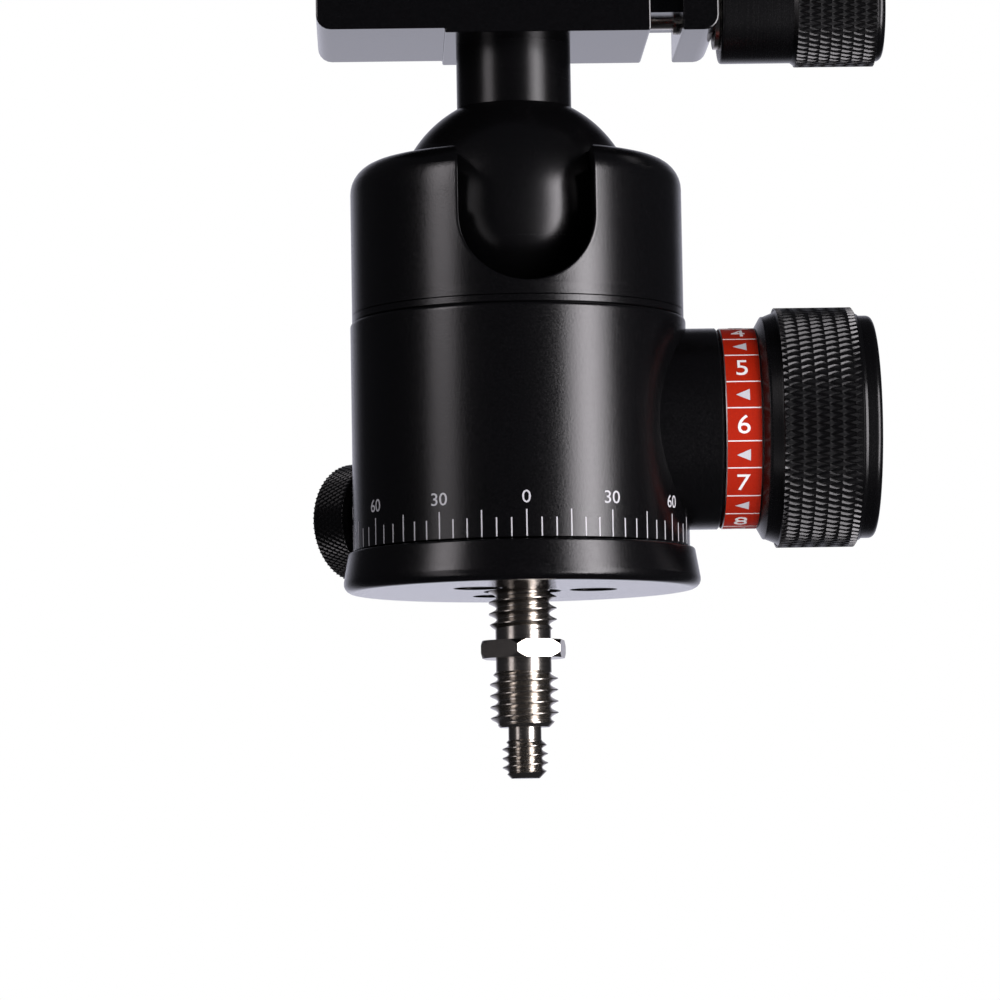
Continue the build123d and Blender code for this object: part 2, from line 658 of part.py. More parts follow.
def clamp_body():
    lip = PLATE_HALF - DOVETAIL_RUN
    rise = FLOOR_Z + DOVETAIL_WALL
    body = across_clamp([
        (CLAMP_LEFT, CLAMP_Z + UNDERSTEP), (UNDERSTEP_X, CLAMP_Z + UNDERSTEP),
        (UNDERSTEP_X, CLAMP_Z), (CLAMP_RIGHT, CLAMP_Z), (CLAMP_RIGHT, FLOOR_Z),
        (-PLATE_HALF, FLOOR_Z), (-PLATE_HALF, rise), (-lip, rise + DOVETAIL_RUN),
        (-lip, CLAMP_TOP), (CLAMP_LEFT, CLAMP_TOP),
    ])
    body = fillet(long_edges(body, CLAMP_LEFT, CLAMP_Z + UNDERSTEP), CLAMP_CORNER)
    body = chamfer(long_edges(body, CLAMP_LEFT, CLAMP_TOP), 2 * CLAMP_BREAK)
    body = chamfer(long_edges(body, CLAMP_RIGHT, FLOOR_Z), CLAMP_BREAK)
    body -= block(
        JAW_X - TONGUE_LEN - JAW_OPEN - 2 * AIR, CLAMP_RIGHT + 1,
        -TONGUE_HALF_Y - RUN, TONGUE_HALF_Y + RUN,
        TONGUE_Z - RUN, TONGUE_Z + TONGUE_H + RUN,
    )
    body -= on_bolt_axis(rod(BOLT_R + RUN, BOLT_TIP - JAW_OPEN - 1, CLAMP_RIGHT + 1))
    body -= on_bolt_axis(rod(CLIP_R + AIR, CLAMP_RIGHT - 2.2, CLAMP_RIGHT + 1))
    body -= rod(STEM_TENON_R + FIT, CLAMP_Z - 1, CLAMP_Z + STEM_TENON_H + FIT)
    for side in (-1, 1):
        place = Pos(0, side * CLAMP_SCREW_Y, 0)
        body -= place * rod(M3_R + FIT, CLAMP_Z, FLOOR_Z + 1)
        body -= place * rod(M3_HEAD_R + FIT, FLOOR_Z - AIR, FLOOR_Z + 1)
        sink = M3_HEAD_R - M3_R
        body -= place * cone(M3_R + FIT, M3_HEAD_R + FIT, FLOOR_Z - AIR - sink, FLOOR_Z - AIR)
    return body


def clamp_jaw():
    lip = JAW_X - DOVETAIL_RUN
    rise = FLOOR_Z + DOVETAIL_WALL
    outer = JAW_X + JAW_T
    jaw = across_clamp([
        (JAW_X, CLAMP_Z), (outer, CLAMP_Z), (outer, CLAMP_TOP), (lip, CLAMP_TOP),
        (lip, rise + DOVETAIL_RUN), (JAW_X, rise),
    ])
    jaw = fillet(long_edges(jaw, outer, CLAMP_Z), CLAMP_CORNER)
    jaw = chamfer(long_edges(jaw, outer, CLAMP_TOP), 2 * CLAMP_BREAK)
    jaw += block(
        JAW_X - TONGUE_LEN, JAW_X + 1, -TONGUE_HALF_Y, TONGUE_HALF_Y,
        TONGUE_Z, TONGUE_Z + TONGUE_H,
    )
    jaw -= on_bolt_axis(rod(BOLT_R + AIR, JAW_X - TONGUE_LEN - 1, outer + 1))
    clip_start = JAW_X - CLIP_T - 2 * AIR
    return jaw - on_bolt_axis(rod(CLIP_R + AIR / 2, clip_start, JAW_X))


def clip_x():
    """Start of the retaining ring along the bolt, just inside the jaw's inner face."""
    return JAW_X - CLIP_T - RUN


def clamp_bolt():
    bolt = rod(BOLT_R, BOLT_TIP, grip_end() - 2)
    bolt = chamfer(ring_edges(bolt, BOLT_R, BOLT_TIP), 0.5)
    return on_bolt_axis(bolt - tube(BOLT_R + 1, BOLT_R - 0.3, clip_x() - FIT, clip_x() + CLIP_T + FIT))


def bolt_clip():
    return on_bolt_axis(tube(CLIP_R, BOLT_R - 0.3 + FIT, clip_x(), clip_x() + CLIP_T))


def thrust_x():
    return JAW_X + JAW_T + RUN


def clamp_thrust_washer():
    return on_bolt_axis(tube(GRIP_HUB_R - 2, BOLT_R + FIT, thrust_x(), thrust_x() + THRUST_T))


def grip_start():
    return thrust_x() + THRUST_T + GRIP_HUB_LEN


def grip_end():
    return grip_start() + GRIP_LEN


def clamp_knob():
    start = thrust_x() + THRUST_T
    knob = turned([
        (0, start), (GRIP_HUB_R - 0.4, start), (GRIP_HUB_R, start + 0.4),
        (GRIP_HUB_R, grip_start()), (GRIP_R, grip_start() + 0.6), (GRIP_R, grip_end() - 0.6),
        (GRIP_CAP_R + 0.1, grip_end()), (0, grip_end()),
    ])
    knob -= rod(BOLT_R + FIT, start - 1, grip_end() - 2 + AIR)
    return on_bolt_axis(knob - rod(4 + FIT, grip_end() - 1.5, grip_end() + 1))


def clamp_knob_cap():
    return on_bolt_axis(end_cap(GRIP_CAP_R, GRIP_CAP_T, 0.9, grip_end(), 4, 1.4))


PIECES = [
    tripod_stud, base_plate, base_screws, pan_hub, pan_lower_washer, pan_upper_washer,
    pan_retainer, retainer_screw, housing, collar, seat_ring, collar_grub_screw, boss_bush,
    spindle_washer, cup_guide_pins, lock_wedge, pressure_cup, ball_liner, lock_spindle,
    main_knob, main_scale_ring, main_knob_washer, main_knob_screw, main_knob_cap, pan_pad,
    pan_lock_screw, pan_knob, pan_knob_cap, ball, ball_stem, clamp_screws, clamp_body,
    clamp_jaw, clamp_bolt, bolt_clip, clamp_thrust_washer, clamp_knob, clamp_knob_cap,
]

os.makedirs("parts", exist_ok=True)
for piece in PIECES:
    export_step(piece(), f"parts/{piece.__name__}.step")

wedge_per_radian = SPINDLE_PITCH / (2 * pi)
print("ball centre", BALL_Z, "lock axis", LOCK_Z, "pan axis", PAN_Z, "bolt axis", BOLT_Z)
print("housing", HOUSING_R, "seam", SEAM_Z, "collar top", COLLAR_TOP, "clamp", CLAMP_Z, CLAMP_TOP)
print("wedge mm/rad", wedge_per_radian, "cup mm/rad", wedge_per_radian * tan(radians(WEDGE_SLOPE)))
print("stem seat half angle", degrees(asin(STEM_R / BALL_R)))
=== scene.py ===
"""Looks of a tripod ball head: drum body, numbered lock knob, ball, plate clamp and stud.

Sizes are in millimetres and turned into metres as each piece is placed. Every turned piece is
made standing on Z and then laid along the pan, lock, pan-lock or clamp-screw axis.
"""

import json
from functools import partial
from math import asin, cos, pi, radians, sin, sqrt, tan, tau

import bmesh
import bpy
from mathutils import Matrix, Quaternion, Vector


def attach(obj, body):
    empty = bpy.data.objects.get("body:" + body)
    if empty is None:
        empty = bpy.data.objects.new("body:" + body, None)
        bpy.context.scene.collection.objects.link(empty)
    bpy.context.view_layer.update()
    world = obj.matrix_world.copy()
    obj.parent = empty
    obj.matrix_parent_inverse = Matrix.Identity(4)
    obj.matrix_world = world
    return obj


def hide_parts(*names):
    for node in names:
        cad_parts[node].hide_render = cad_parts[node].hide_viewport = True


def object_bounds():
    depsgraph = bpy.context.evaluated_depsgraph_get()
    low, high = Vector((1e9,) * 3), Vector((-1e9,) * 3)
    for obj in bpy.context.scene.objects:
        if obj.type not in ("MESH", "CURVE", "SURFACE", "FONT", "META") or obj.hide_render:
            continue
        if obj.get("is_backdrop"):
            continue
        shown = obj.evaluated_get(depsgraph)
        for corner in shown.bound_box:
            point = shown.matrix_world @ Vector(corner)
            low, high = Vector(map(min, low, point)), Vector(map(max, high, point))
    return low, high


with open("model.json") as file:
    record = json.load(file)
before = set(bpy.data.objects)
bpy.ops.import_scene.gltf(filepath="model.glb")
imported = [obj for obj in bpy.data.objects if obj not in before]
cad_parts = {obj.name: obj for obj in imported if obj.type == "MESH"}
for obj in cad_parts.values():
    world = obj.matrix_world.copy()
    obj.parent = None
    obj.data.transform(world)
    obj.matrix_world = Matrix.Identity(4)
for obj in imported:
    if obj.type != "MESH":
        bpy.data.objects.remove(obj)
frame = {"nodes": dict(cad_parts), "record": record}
cad_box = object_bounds()

MM = 0.001

# Drum, base disc and collar
BASE_R, BASE_TOP_R, BASE_H = 25.0, 24.2, 5.6
HOUSING_R, HOUSING_Z, SEAM_Z = 23.5, 5.8, 37.85
COLLAR_R, COLLAR_TOP, COLLAR_EDGE = 23.25, 60.2, 4.15
CUP_BORE_R, SKIRT_R, SKIRT_Z = 20.4, 21.58, 32.55
COLLAR_EDGE_LOW = COLLAR_TOP - COLLAR_EDGE
NOTCH_HALF, NOTCH_LOW, NOTCH_BREAK = 9.3, 40.85, 0.25
NOTCH_MIDDLE = NOTCH_LOW + NOTCH_HALF
SEAT_R, SEAT_LOW, SEAT_MIDDLE, SEAT_HIGH = 19.0, 51.45, 53.5, 57.45
GRUB_R, GRUB_Z = 1.52, 35.2
BASE_SCREW_OUT, BASE_SCREW_TURN = 10.0, -10
COUNTERBORE_R, COUNTERBORE_DEEP = 3.175, 3.3

# Room inside the drum: hub, web, retainer, wedge and the collar's thread
HUB_BORE_R, WEB_BORE_R, RETAINER_BORE_R = 17.05, 10.55, 13.8
WEDGE_ROOM_R, THREAD_BORE_R = 12.05, 21.6
WEB_LOW, WEB_HIGH, RETAINER_TOP, CUP_FLOOR = 14.62, 16.12, 18.34, 28.6

# Tripod stud: its two threads, the hexagon between them and the smaller tip
STUD_R, STUD_ROOT, STUD_NECK, STUD_PITCH = 4.7625, 3.70, 3.88, 1.5875
TIP_R, TIP_ROOT, TIP_NECK, TIP_PITCH = 3.175, 2.36, 2.30, 1.27
NUT_ACROSS, NUT_TURN, NUT_TOP, NUT_LOW = 11.1, 20.7, -6.9, -9.4
LOW_END, TIP_START, STUD_END = -19.0, -20.4, -26.1

# Ball and stem
BALL_R, BALL_Z = 17.0, 52.95
STEM_R, SPIGOT_R, STEM_FOOT = 8.05, 5.0, 55.42

# Lock knob, on the axis that points to +X
LOCK_Z, BOSS_R, BOSS_END = 22.4, 14.1, 27.75
RING_START, RING_END, RING_R, RING_IN_R = 27.95, 33.0, 14.05, 12.5
KNOB_R, KNOB_CORE_R = 16.8, 16.54
KNOB_GRIP_START, KNOB_GRIP_END, KNOB_END = 35.7, 46.6, 47.1

# Pan lock, at the back left
PAN_Z, PAN_AZIMUTH = 11.75, 135.0

# Plate clamp
CLAMP_Z, FLOOR_Z, CLAMP_TOP, CLAMP_HALF_Y = 76.75, 87.75, 93.75, 12.85
CLAMP_LEFT, CLAMP_RIGHT, JAW_X, JAW_END = -27.6, 18.75, 23.2, 28.2
THIN_END, THIN_Z = -9.8, 77.35
CHANNEL_LEFT, DOVETAIL_WALL, DOVETAIL_RUN, DOVETAIL_TOP = -19.0, 2.1, 2.7, 92.55
CLAMP_SCREW_Y, CLAMP_EDGE, JAW_EDGE, TONGUE_EDGE = 5.2, 0.3, 0.5, 0.3
TONGUE_HALF_Y, TONGUE_LOW, TONGUE_HIGH = 8.0, 80.15, 86.15
BOLT_Z, BOLT_R = 82.15, 3.0
GRIP_START, GRIP_END = 39.15, 50.15

# Numbers, lines and arrows: plates that stand a little proud of their drum
MARK_THICK, MARK_SUNK, FIGURE_LIFT, DIGIT_SHARE = 0.05, 0.02, 0.01, 0.73
DIGIT_PITCH, SIX_AT = 34.35, 3.3

# An edge sharper than this many degrees is shaded hard; points this near, in metres, are one
SHARP, WELD = 32.0, 2e-6

UPRIGHT = Matrix.Scale(MM, 4)


def about_z(angle):
    return Matrix.Rotation(radians(angle), 4, "Z")


def lying(height, azimuth=0.0):
    """Lays a piece made along Z out level, at this height and pointing to this azimuth."""
    turn = about_z(azimuth) @ Matrix.Rotation(radians(90), 4, "Y")
    return UPRIGHT @ Matrix.Translation((0, 0, height)) @ turn


LOCK_AXIS = lying(LOCK_Z)
PAN_LOCK_AXIS = lying(PAN_Z, PAN_AZIMUTH)
BOLT_AXIS = lying(BOLT_Z)


# Nodes and finishes

def node(tree, kind, inputs=None, **settings):
    """Adds a node. Its inputs are numbers, or the sockets that feed it."""
    made = tree.nodes.new(kind)
    for key, value in settings.items():
        setattr(made, key, value)
    for key, value in (inputs or {}).items():
        if isinstance(value, bpy.types.NodeSocket):
            tree.links.new(value, made.inputs[key])
        else:
            made.inputs[key].default_value = value
    return made


def result(tree, kind, inputs=None, **settings):
    """Adds a node and returns its first output."""
    return node(tree, kind, inputs, **settings).outputs[0]


def math(tree, operation, *values):
    return result(tree, "ShaderNodeMath", dict(enumerate(values)), operation=operation)


def vector_math(tree, operation, first, second):
    """The result of a Vector Math node, a number for a distance or a dot product."""
    inputs = {0: first, "Scale" if operation == "SCALE" else 1: second}
    made = node(tree, "ShaderNodeVectorMath", inputs, operation=operation)
    return made.outputs["Value" if operation in ("DOT_PRODUCT", "DISTANCE") else "Vector"]


def vector(tree, **parts):
    """A vector of X, Y and Z parts, nought where one isn't given."""
    return result(tree, "ShaderNodeCombineXYZ", parts)


def object_place(tree):
    return node(tree, "ShaderNodeTexCoord").outputs["Object"]


def along_and_out(tree, height, azimuth):
    """A turned piece's own coordinates: how far out from its axis and how far along it.

    With no azimuth the axis is the head's own, which stands on Z.
    """
    centre = (0, 0, height * MM)
    axis = (0, 0, 1)
    if azimuth is not None:
        axis = (cos(radians(azimuth)), sin(radians(azimuth)), 0)
    point = vector_math(tree, "SUBTRACT", object_place(tree), centre)
    along = vector_math(tree, "DOT_PRODUCT", point, axis)
    foot = vector_math(tree, "SCALE", axis, along)
    out = vector_math(tree, "DISTANCE", point, foot)
    return vector(tree, X=out, Z=along)


def noise(tree, place, grain, detail=2.0, roughness=0.5):
    """Noise whose grains are this many millimetres across."""
    inputs = {"Vector": place, "Scale": 1 / (grain * MM), "Detail": detail, "Roughness": roughness}
    return result(tree, "ShaderNodeTexNoise", inputs)


def spread(tree, value, low, high, start=0.3, end=0.7):
    """Spreads the middle of a noise's range from low to high."""
    inputs = {"Value": value, "From Min": start, "From Max": end, "To Min": low, "To Max": high}
    return result(tree, "ShaderNodeMapRange", inputs)


def blend_colours(tree, factor, first, second):
    inputs = {0: factor, 6: first, 7: second}
    for key, value in inputs.items():
        if isinstance(value, tuple):
            inputs[key] = (*value, 1)
    return node(tree, "ShaderNodeMix", inputs, data_type="RGBA").outputs[2]


def relief(tree, height, depth, under=None):
    """Bump of this depth in millimetres, on top of another bump if there is one."""
    inputs = {"Strength": 1.0, "Distance": depth * MM, "Height": height}
    if under is not None:
        inputs["Normal"] = under
    return result(tree, "ShaderNodeBump", inputs)


CLOUD_GRAIN, TOOL_GRAIN = 9.0, 0.16


def finish(name, colours, rough, grain, depth, turning=None, turned_depth=0.0, **constants):
    """A finish whose colour, gloss and relief vary with the grain of the metal or plastic.

    rough is its least and greatest roughness. grain and the depths are in millimetres. turning
    is the (height, azimuth) of the axis round which the tool marks run.
    """
    material = bpy.data.materials.new(name)
    material.use_nodes = True
    tree = material.node_tree
    shader = tree.nodes["Principled BSDF"]
    for key, value in constants.items():
        shader.inputs[key.replace("_", " ")].default_value = value
    fine = noise(tree, object_place(tree), grain, 3.0, 0.6)
    broad = noise(tree, object_place(tree), CLOUD_GRAIN, 4.0)
    tone = blend_colours(tree, spread(tree, fine, 0.0, 1.0), *colours)
    cloud = blend_colours(tree, spread(tree, broad, 0.0, 0.35), tone, colours[0])
    normal = relief(tree, fine, depth)
    gloss = fine
    if turning is not None:
        place = along_and_out(tree, *turning)
        marks = noise(tree, place, TOOL_GRAIN)
        normal = relief(tree, marks, turned_depth, normal)
        gloss = math(tree, "MULTIPLY_ADD", marks, 0.5, math(tree, "MULTIPLY", fine, 0.5))
    tree.links.new(cloud, shader.inputs["Base Color"])
    tree.links.new(spread(tree, gloss, *rough), shader.inputs["Roughness"])
    tree.links.new(normal, shader.inputs["Normal"])
    return material


BLACK = ((0.0012, 0.0012, 0.0014), (0.0030, 0.0029, 0.0034))
STEEL = ((0.52, 0.49, 0.45), (0.42, 0.39, 0.35))


def knob_blacks(name, axis, core_ior, knurl_ior, knurl_rough=(0.26, 0.34)):
    """Two blacks for a knob: its turned core and its knurl."""
    core = finish(
        name + "_knob_black", BLACK, (0.22, 0.30), 0.18, 0.003, axis, 0.0015, IOR=core_ior)
    knurled = finish(
        name + "_knurl_black", BLACK, knurl_rough, 0.18, 0.002, axis, 0.0010, IOR=knurl_ior)
    return core, knurled


anodised, base_black = (
    finish(name, BLACK, (0.17, 0.26), 0.25, 0.016, IOR=1.5)
    for name in ("black_anodised", "base_black"))
stem_black = finish("stem_black", BLACK, (0.22, 0.28), 0.25, 0.008, (0, None), 0.0010, IOR=1.37)
clamp_black = finish("clamp_black", BLACK, (0.12, 0.18), 0.25, 0.0012, IOR=1.55)
ball_black = finish(
    "ball_black", BLACK, (0.22, 0.28), 0.25, 0.006, (BALL_Z, None), 0.0008, IOR=1.58)
lock_blacks = knob_blacks("lock", (LOCK_Z, 0), 1.44, 1.58)
pan_blacks = knob_blacks("pan", (PAN_Z, PAN_AZIMUTH), 1.5, 1.45, (0.22, 0.30))
clamp_blacks = knob_blacks("clamp", (BOLT_Z, 0), 1.5, 1.65)
red_enamel = finish(
    "red_enamel", ((0.40, 0.016, 0.003), (0.34, 0.012, 0.0025)), (0.42, 0.52), 0.30, 0.006,
    Specular_IOR_Level=0.1)
bare_edge = finish(
    "bare_edge", ((0.80, 0.79, 0.78), (0.70, 0.69, 0.68)), (0.28, 0.36), 0.20, 0.002,
    Metallic=1.0)
white_paint = finish(
    "white_paint", ((0.84, 0.83, 0.82), (0.76, 0.75, 0.74)), (0.50, 0.62), 0.12, 0.004)
silver_paint = finish(
    "silver_paint", ((0.58, 0.58, 0.60), (0.48, 0.48, 0.50)), (0.42, 0.55), 0.12, 0.004)
stud_steel, bolt_steel = (
    finish(name, STEEL, (0.17, 0.26), 0.40, 0.003, axis, 0.004, Metallic=1.0)
    for name, axis in (("stud_nickel", (0, None)), ("bolt_nickel", (BOLT_Z, 0))))
brass = finish(
    "brass", ((0.62, 0.44, 0.17), (0.52, 0.35, 0.12)), (0.26, 0.36), 0.40, 0.004,
    (LOCK_Z, 0), 0.004, Metallic=1.0)
screw_black = finish(
    "black_oxide", ((0.020, 0.020, 0.023), (0.034, 0.034, 0.037)), (0.32, 0.45), 0.15, 0.006,
    Metallic=0.6)
white_acetal = finish(
    "white_acetal", ((0.78, 0.78, 0.76), (0.72, 0.72, 0.70)), (0.36, 0.46), 0.35, 0.004,
    Subsurface_Weight=0.1, Subsurface_Scale=0.001)
black_acetal = finish(
    "black_acetal", ((0.012, 0.012, 0.013), (0.020, 0.020, 0.021)), (0.36, 0.46), 0.35, 0.004)


def polish_below(material, height, rough):
    """Makes a finish smoother on the faced underside, up to this height."""
    tree = material.node_tree
    socket = tree.nodes["Principled BSDF"].inputs["Roughness"]
    rest = socket.links[0].from_socket
    up = node(tree, "ShaderNodeSeparateXYZ", {0: object_place(tree)}).outputs["Z"]
    above = spread(tree, up, 0.0, 1.0, height * MM, (height + 0.5) * MM)
    tree.links.new(result(tree, "ShaderNodeMix", {0: above, 2: rough, 3: rest}), socket)


polish_below(base_black, 0.02, 0.12)

FINISH_OF_SLOT = {
    "black_anodised": anodised, "ball_black": ball_black, "knob_black": lock_blacks[0],
    "scale_red": red_enamel, "nickel_steel": stud_steel, "brass": brass,
    "black_screw": screw_black, "white_acetal": white_acetal, "black_acetal": black_acetal,
}
for subpart in frame["record"]["subparts"]:
    cad_node = frame["nodes"][subpart["node"]]
    cad_node.data.materials.clear()
    cad_node.data.materials.append(FINISH_OF_SLOT[subpart["material_slot"]])


# Making meshes

def new_object(name, data):
    made = bpy.data.objects.new(name, data)
    bpy.context.scene.collection.objects.link(made)
    return made


def drop(*objects):
    for item in objects:
        mesh = item.data
        bpy.data.objects.remove(item)
        if mesh.users == 0:
            bpy.data.meshes.remove(mesh)


def tidy_mesh(mesh, sharp=SHARP, merge=0.0):
    """Faces outwards, smooth shading and hard edges where the surface turns sharply."""
    shape = bmesh.new()
    shape.from_mesh(mesh)
    if merge:
        bmesh.ops.remove_doubles(shape, verts=shape.verts, dist=merge)
        bmesh.ops.dissolve_degenerate(shape, edges=shape.edges, dist=merge)
    bmesh.ops.recalc_face_normals(shape, faces=shape.faces)
    shape.to_mesh(mesh)
    shape.free()
    mesh.shade_smooth()
    mesh.set_sharp_from_angle(angle=radians(sharp))
    mesh.update()


def build(name, points, faces, place, merge=0.0):
    mesh = bpy.data.meshes.new(name)
    mesh.from_pydata(points, [], faces)
    mesh.transform(place)
    tidy_mesh(mesh, merge=merge)
    return new_object(name, mesh)


def arc(centre, start, end, steps):
    """Points from start to end on the shorter arc about a centre."""
    spoke = start - centre
    total = spoke.angle_signed(end - centre)
    turns = [Matrix.Rotation(-total * step / steps, 2) for step in range(steps + 1)]
    return [centre + turn @ spoke for turn in turns]


def rounded(corners, steps=5):
    """An outline with its corners rounded, from (across, up) or (across, up, radius) corners.

    A point beside each rounding keeps the flat next to it flat when it is shaded.
    """
    beside = 0.12
    outline = []
    for index, corner in enumerate(corners):
        here = Vector(corner[:2])
        radius = corner[2] if len(corner) > 2 else 0
        if not radius:
            outline.append(here)
            continue
        back = Vector(corners[index - 1][:2]) - here
        ahead = Vector(corners[(index + 1) % len(corners)][:2]) - here
        half = back.angle(ahead) / 2
        reach = radius / tan(half)
        to_back, to_ahead = back.normalized(), ahead.normalized()
        centre = here + (to_back + to_ahead).normalized() * radius / sin(half)
        start, end = here + to_back * reach, here + to_ahead * reach
        if back.length > reach + 3 * beside:
            outline.append(start + to_back * beside)
        outline += arc(centre, start, end, steps)
        if ahead.length > reach + 3 * beside:
            outline.append(end + to_ahead * beside)
    return [tuple(point) for point in outline]


def turned(name, outline, place=UPRIGHT, around=144):
    """A closed solid of revolution from its (radius, height) outline."""
    points, faces, rings = [], [], []
    for radius, height in outline:
        if radius < 1e-6:
            rings.append([len(points)] * around)
            points.append((0, 0, height))
        else:
            rings.append(list(range(len(points), len(points) + around)))
            for step in range(around):
                angle = tau * step / around
                points.append((radius * cos(angle), radius * sin(angle), height))
    for ring, following in zip(rings, rings[1:] + rings[:1]):
        for step in range(around):
            after = (step + 1) % around
            corners = [ring[step], ring[after], following[after], following[step]]
            corners = list(dict.fromkeys(corners))
            if len(corners) > 2:
                faces.append(corners)
    return build(name, points, faces, place)


def cylinder(name, radius, start, end, place=UPRIGHT, around=48):
    outline = [(0, start), (radius, start), (radius, end), (0, end)]
    return turned(name, outline, place, around)


def prism(name, outline, start, end, place=UPRIGHT):
    """An outline of (x, y) points drawn out along Z."""
    count = len(outline)
    points = [(x, y, z) for z in (start, end) for x, y in outline]
    faces = [list(range(count)), list(range(count, 2 * count))]
    faces += [[i, (i + 1) % count, count + (i + 1) % count, count + i] for i in range(count)]
    return build(name, points, faces, place)


# Turns a prism's outline of (x, z) points so that it is drawn out along Y
ALONG_Y = UPRIGHT @ Matrix(((1, 0, 0, 0), (0, 0, -1, 0), (0, 1, 0, 0), (0, 0, 0, 1)))


def box_piece(name, x, y, z):
    return prism(name, [(x[0], y[0]), (x[1], y[0]), (x[1], y[1]), (x[0], y[1])], *z)


def settle(piece, sharp, merge=0.0):
    """Turns a piece with its modifiers into a plain mesh."""
    view = bpy.context.evaluated_depsgraph_get()
    mesh = bpy.data.meshes.new_from_object(piece.evaluated_get(view))
    old = piece.data
    piece.modifiers.clear()
    piece.data = mesh
    bpy.data.meshes.remove(old)
    mesh.name = piece.name
    tidy_mesh(mesh, sharp, merge)


def carve(piece, *tools, operation="DIFFERENCE", sharp=SHARP):
    """Cuts tools from a piece, or joins them to it, and throws the tools away."""
    for tool in tools:
        step = piece.modifiers.new("carve", "BOOLEAN")
        step.operation, step.solver, step.object = operation, "EXACT", tool
    settle(piece, sharp)
    drop(*tools)


def bevel(piece, width, angle=35.0, sharp=SHARP):
    """Rounds the edges that turn by more than this angle."""
    step = piece.modifiers.new("bevel", "BEVEL")
    step.width, step.segments = width * MM, 2
    step.limit_method, step.angle_limit = "ANGLE", radians(angle)
    settle(piece, sharp)


def joined(name, *pieces, sharp=SHARP, merge=0.0):
    """Several meshes as one piece."""
    shape = bmesh.new()
    for piece in pieces:
        shape.from_mesh(piece.data)
    mesh = bpy.data.meshes.new(name)
    shape.to_mesh(mesh)
    shape.free()
    drop(*pieces)
    tidy_mesh(mesh, sharp, merge)
    return new_object(name, mesh)


def mount(piece, body, slot, material, *nodes):
    """Paints a finished piece, hangs it on its body and hides the nodes that it stands for.

    slot is the record's material slot, or None for a mark that has no slot of its own. It is not
    used.
    """
    piece.data.materials.clear()
    piece.data.materials.append(material)
    piece.data.polygons.foreach_set("material_index", [0] * len(piece.data.polygons))
    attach(piece, body)
    if nodes:
        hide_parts(*nodes)


# Geometry Nodes: threads, knurls and rows of copies

def new_tree(name, numbers, whole="", objects=""):
    """A Geometry Nodes tree with these inputs and a material: the tree, a short call for its
    sums, and its input sockets in order."""
    tree = bpy.data.node_groups.new(name, "GeometryNodeTree")
    kinds = {"Float": numbers, "Int": whole, "Object": objects, "Material": "material"}
    for kind, labels in kinds.items():
        for label in labels.split():
            tree.interface.new_socket(label, in_out="INPUT", socket_type="NodeSocket" + kind)
    tree.interface.new_socket("mesh", in_out="OUTPUT", socket_type="NodeSocketGeometry")
    given = list(tree.nodes.new("NodeGroupInput").outputs)
    return tree, partial(math, tree), [socket for socket in given if socket.name]


def close_tree(tree, geometry, material):
    """Ends a tree in Realize Instances and Set Material."""
    solid = result(tree, "GeometryNodeRealizeInstances", {"Geometry": geometry})
    painted = result(tree, "GeometryNodeSetMaterial", {"Geometry": solid, "Material": material})
    tree.links.new(painted, tree.nodes.new("NodeGroupOutput").inputs[0])


def grow(name, tree, place, start=0.0, merge=0.0, sharp=SHARP, **values):
    """A plain mesh grown by a tree with these inputs, moved up its axis to its start."""
    piece = new_object(name, bpy.data.meshes.new(name))
    step = piece.modifiers.new("grow", "NODES")
    step.node_group = tree
    for socket in tree.interface.items_tree:
        if socket.in_out == "INPUT":
            step[socket.identifier] = values[socket.name]
    settle(piece, sharp, merge)
    shift = Matrix.Translation((0, 0, start * MM))
    piece.data.transform(place @ Matrix.Scale(1 / MM, 4) @ shift)
    tidy_mesh(piece.data, sharp)
    return piece


def on_circle(tree, radius, angle, height):
    """The point at this angle round Z."""
    across = math(tree, "MULTIPLY", radius, math(tree, "COSINE", angle))
    away = math(tree, "MULTIPLY", radius, math(tree, "SINE", angle))
    return vector(tree, X=across, Y=away, Z=height)


def moved(tree, geometry, place):
    return result(tree, "GeometryNodeSetPosition", {"Geometry": geometry, "Position": place})


def index_and_group(tree, size):
    """A point's index, and the number of the group of this size that it falls in."""
    index = result(tree, "GeometryNodeInputIndex")
    share = math(tree, "DIVIDE", math(tree, "ADD", index, 0.5), size)
    return index, math(tree, "FLOOR", share)


